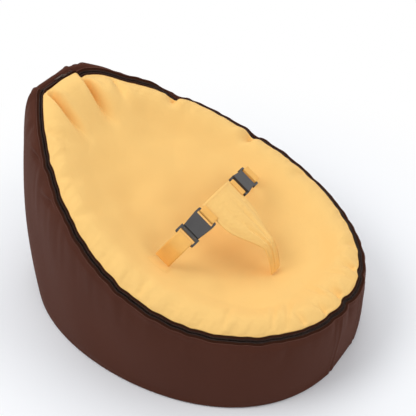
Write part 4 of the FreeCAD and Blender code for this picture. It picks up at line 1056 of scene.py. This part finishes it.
def belt_tab(side, name, cover, foot):
    """The patch that the belt's foot is sewn under, lying on the cover, with its stitches."""
    mesh = cover.data
    tree = BVHTree.FromPolygons([v.co[:] for v in mesh.vertices],
                                [p.vertices[:] for p in mesh.polygons])

    def on_cover(s, t, above):
        x = foot.x + side * (TAB_SHIFT + s * TAB_LENGTH / 2)
        y = foot.y + t * TAB_WIDTH / 2
        place, normal, _, _ = tree.ray_cast(Vector((x, y, 0.6)), Vector((0, 0, -1)))
        return place + normal * above, normal
    shares = np.linspace(-1, 1, 21)
    points = [on_cover(s, t, TAB_HEIGHT - TAB_CORNER * max(abs(s), abs(t)) ** 6)[0]
              for s in shares for t in shares]
    grid = np.array(points).reshape(len(shares), len(shares), 3)
    flat = [np.linalg.norm(np.diff(grid, axis=axis), axis=2).sum(axis).mean() for axis in (0, 1)]
    patch = mesh_object("belt_tab_" + name, points, grid_faces(*grid.shape[:2]), pad_cloth)
    loop = [(-0.8, t) for t in shares * 0.85] + [(s, 0.85) for s in shares * 0.8]
    loop += [(-s, -t) for s, t in loop]
    places = [on_cover(s, t, TAB_STITCHES) for s, t in loop]
    sewn("belt_tab_stitches_" + name, places, closed=True)
    return patch, flat


# -------- build
def build():
    shell = attach(bag_shell(), "brown_fabric", "side_wall_left", "side_wall_right",
                   "head_panel", "foot_panel", "base_panel", "bead_bag")
    cover = attach(seat_cover(), "orange_fabric", "seat_cover")
    for name, node, low, high in (("zip_tape_outer", "zip_tape_shell", -TAPE_FAR, -TAPE_NEAR),
                                  ("zip_tape_inner", "zip_tape_cover", TAPE_NEAR, TAPE_FAR)):
        attach(tape_ring(name, tape_profile(low, high)), "zip_tape", node)
    facing_v = np.linspace(0, FACING_ROUND, len(FACING))
    attach(tape_ring("zip_facing", FACING, facing_v), "zip_tape")
    for name, node, side in (("zip_coil_outer", "zip_teeth_shell", -1),
                             ("zip_coil_inner", "zip_teeth_cover", 1)):
        attach(coil_ring(name, side), "zip_coil", node)
        line = rim.at(side * TAPE_STITCHES[0], TAPE_STITCHES[1])
        stitches(name + "_stitches", line, rim.up, dark_thread, pitch=COIL_PITCH, length=0.0014)
    pad = attach(crotch_pad(), "orange_fabric", "crotch_pad")
    for side, name in ((-1, "left"), (1, "right")):
        strap, length = arm_strap(side, name)
        attach(strap, "orange_webbing", "arm_strap_" + name)
        band, length, start, end = side_belt(side, name)
        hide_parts("side_belt_" + name)
        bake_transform(band)
        patch, flat = belt_tab(side, name, cover, start)
        attach(patch, "orange_fabric")


build()

HARDWARE = ((zip_metal, ("zip_stops", "zip_slider", "zip_pull")),
            (buckle_plastic, ("buckle_female_left", "buckle_female_right", "buckle_male_left",
                              "buckle_male_right", "prong_left_head", "prong_left_foot",
                              "prong_right_head", "prong_right_foot")))
for material, nodes in HARDWARE:
    for node in nodes:
        for material_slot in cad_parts[node].material_slots:
            material_slot.material = material

# -------- floor, light, camera
WHITE = (1.0, 1.0, 1.0, 1.0)
DAYLIGHT, DAYLIGHT_STRENGTH = (0.95, 0.97, 1.0, 1.0), 0.6
# From the first distance to the second, the floor fades to white.
FLOOR_NEAR, FLOOR_FAR = 0.42, 0.95
# Round soft lamps: name, place, diameter, power in watts.
LAMPS = (("key", (-1.3, 0.9, 2.3), 1.5, 24.0), ("fill", (0.6, -2.0, 1.7), 1.6, 11.0),
         ("top", (0.9, 0.6, 2.6), 2.0, 14.0))
LIT_POINT = Vector((0, 0, 0.2))
CAMERA_AZIMUTH, CAMERA_ELEVATION = math.radians(-56.196), math.radians(39.481)
CAMERA_DISTANCE, CAMERA_TARGET = 2.0028, Vector((0.07366, 0.0113, 0.18117))
SENSOR_MM, LENS_MM = 36.0, 77.88


def floor_material():
    """A pale floor that shows as white away from the piece, and keeps its shadow."""
    n = new_nodes("pale_floor")
    place = n.place()
    pale = n.add("BsdfPrincipled", {
        "Base Color": n.ramp(n.noise(place, 2.0, 2.0), (0.3, linear(249, 250, 252)),
                             (0.7, linear(250, 251, 253))),
        "Roughness": 0.9,
        "Specular IOR Level": 0.2})
    away = n.add("VectorMath", {0: place}, operation="LENGTH").outputs["Value"]
    span = {"Value": away, "From Min": FLOOR_NEAR, "From Max": FLOOR_FAR}
    far = n.add("MapRange", span, interpolation_type="SMOOTHSTEP").outputs[0]
    glow = n.add("Emission", {"Color": WHITE, "Strength": 1.0})
    return n.show(n.mix_shaders(n.times(far, n.seen()), pale, glow))


def place_object(name, data, place, way):
    """A lamp or camera at a place, looking along a direction."""
    obj = bpy.data.objects.new(name, data)
    obj.location = place
    obj.rotation_euler = way.to_track_quat("-Z", "Y").to_euler()
    scene.collection.objects.link(obj)
    return obj


def studio():
    """A pale floor, a white backdrop and soft light from above."""
    bpy.ops.mesh.primitive_plane_add(size=30)
    floor = bpy.context.object
    floor.name = "floor"
    floor.data.materials.append(floor_material())
    world = bpy.data.worlds.new("studio")
    scene.world = world
    n = Nodes(world, "OutputWorld")
    light = n.add("Background", {"Color": DAYLIGHT, "Strength": DAYLIGHT_STRENGTH})
    backdrop = n.add("Background", {"Color": WHITE, "Strength": 1.0})
    n.show(n.mix_shaders(n.seen(), light, backdrop))
    for name, place, size, energy in LAMPS:
        lamp = bpy.data.lights.new(name, "AREA")
        lamp.shape = "DISK"
        lamp.size = size
        lamp.energy = energy
        place_object(name, lamp, place, LIT_POINT - Vector(place))


def camera():
    """The photograph's viewing angle."""
    level = math.cos(CAMERA_ELEVATION)
    back = Vector((math.sin(CAMERA_AZIMUTH) * level, -math.cos(CAMERA_AZIMUTH) * level,
                   math.sin(CAMERA_ELEVATION)))
    data = bpy.data.cameras.new("camera")
    data.sensor_width = SENSOR_MM
    data.lens = LENS_MM
    place = CAMERA_TARGET + back * CAMERA_DISTANCE
    scene.camera = place_object("camera", data, place, -back)


studio()
camera()
scene.view_settings.view_transform = "Standard"
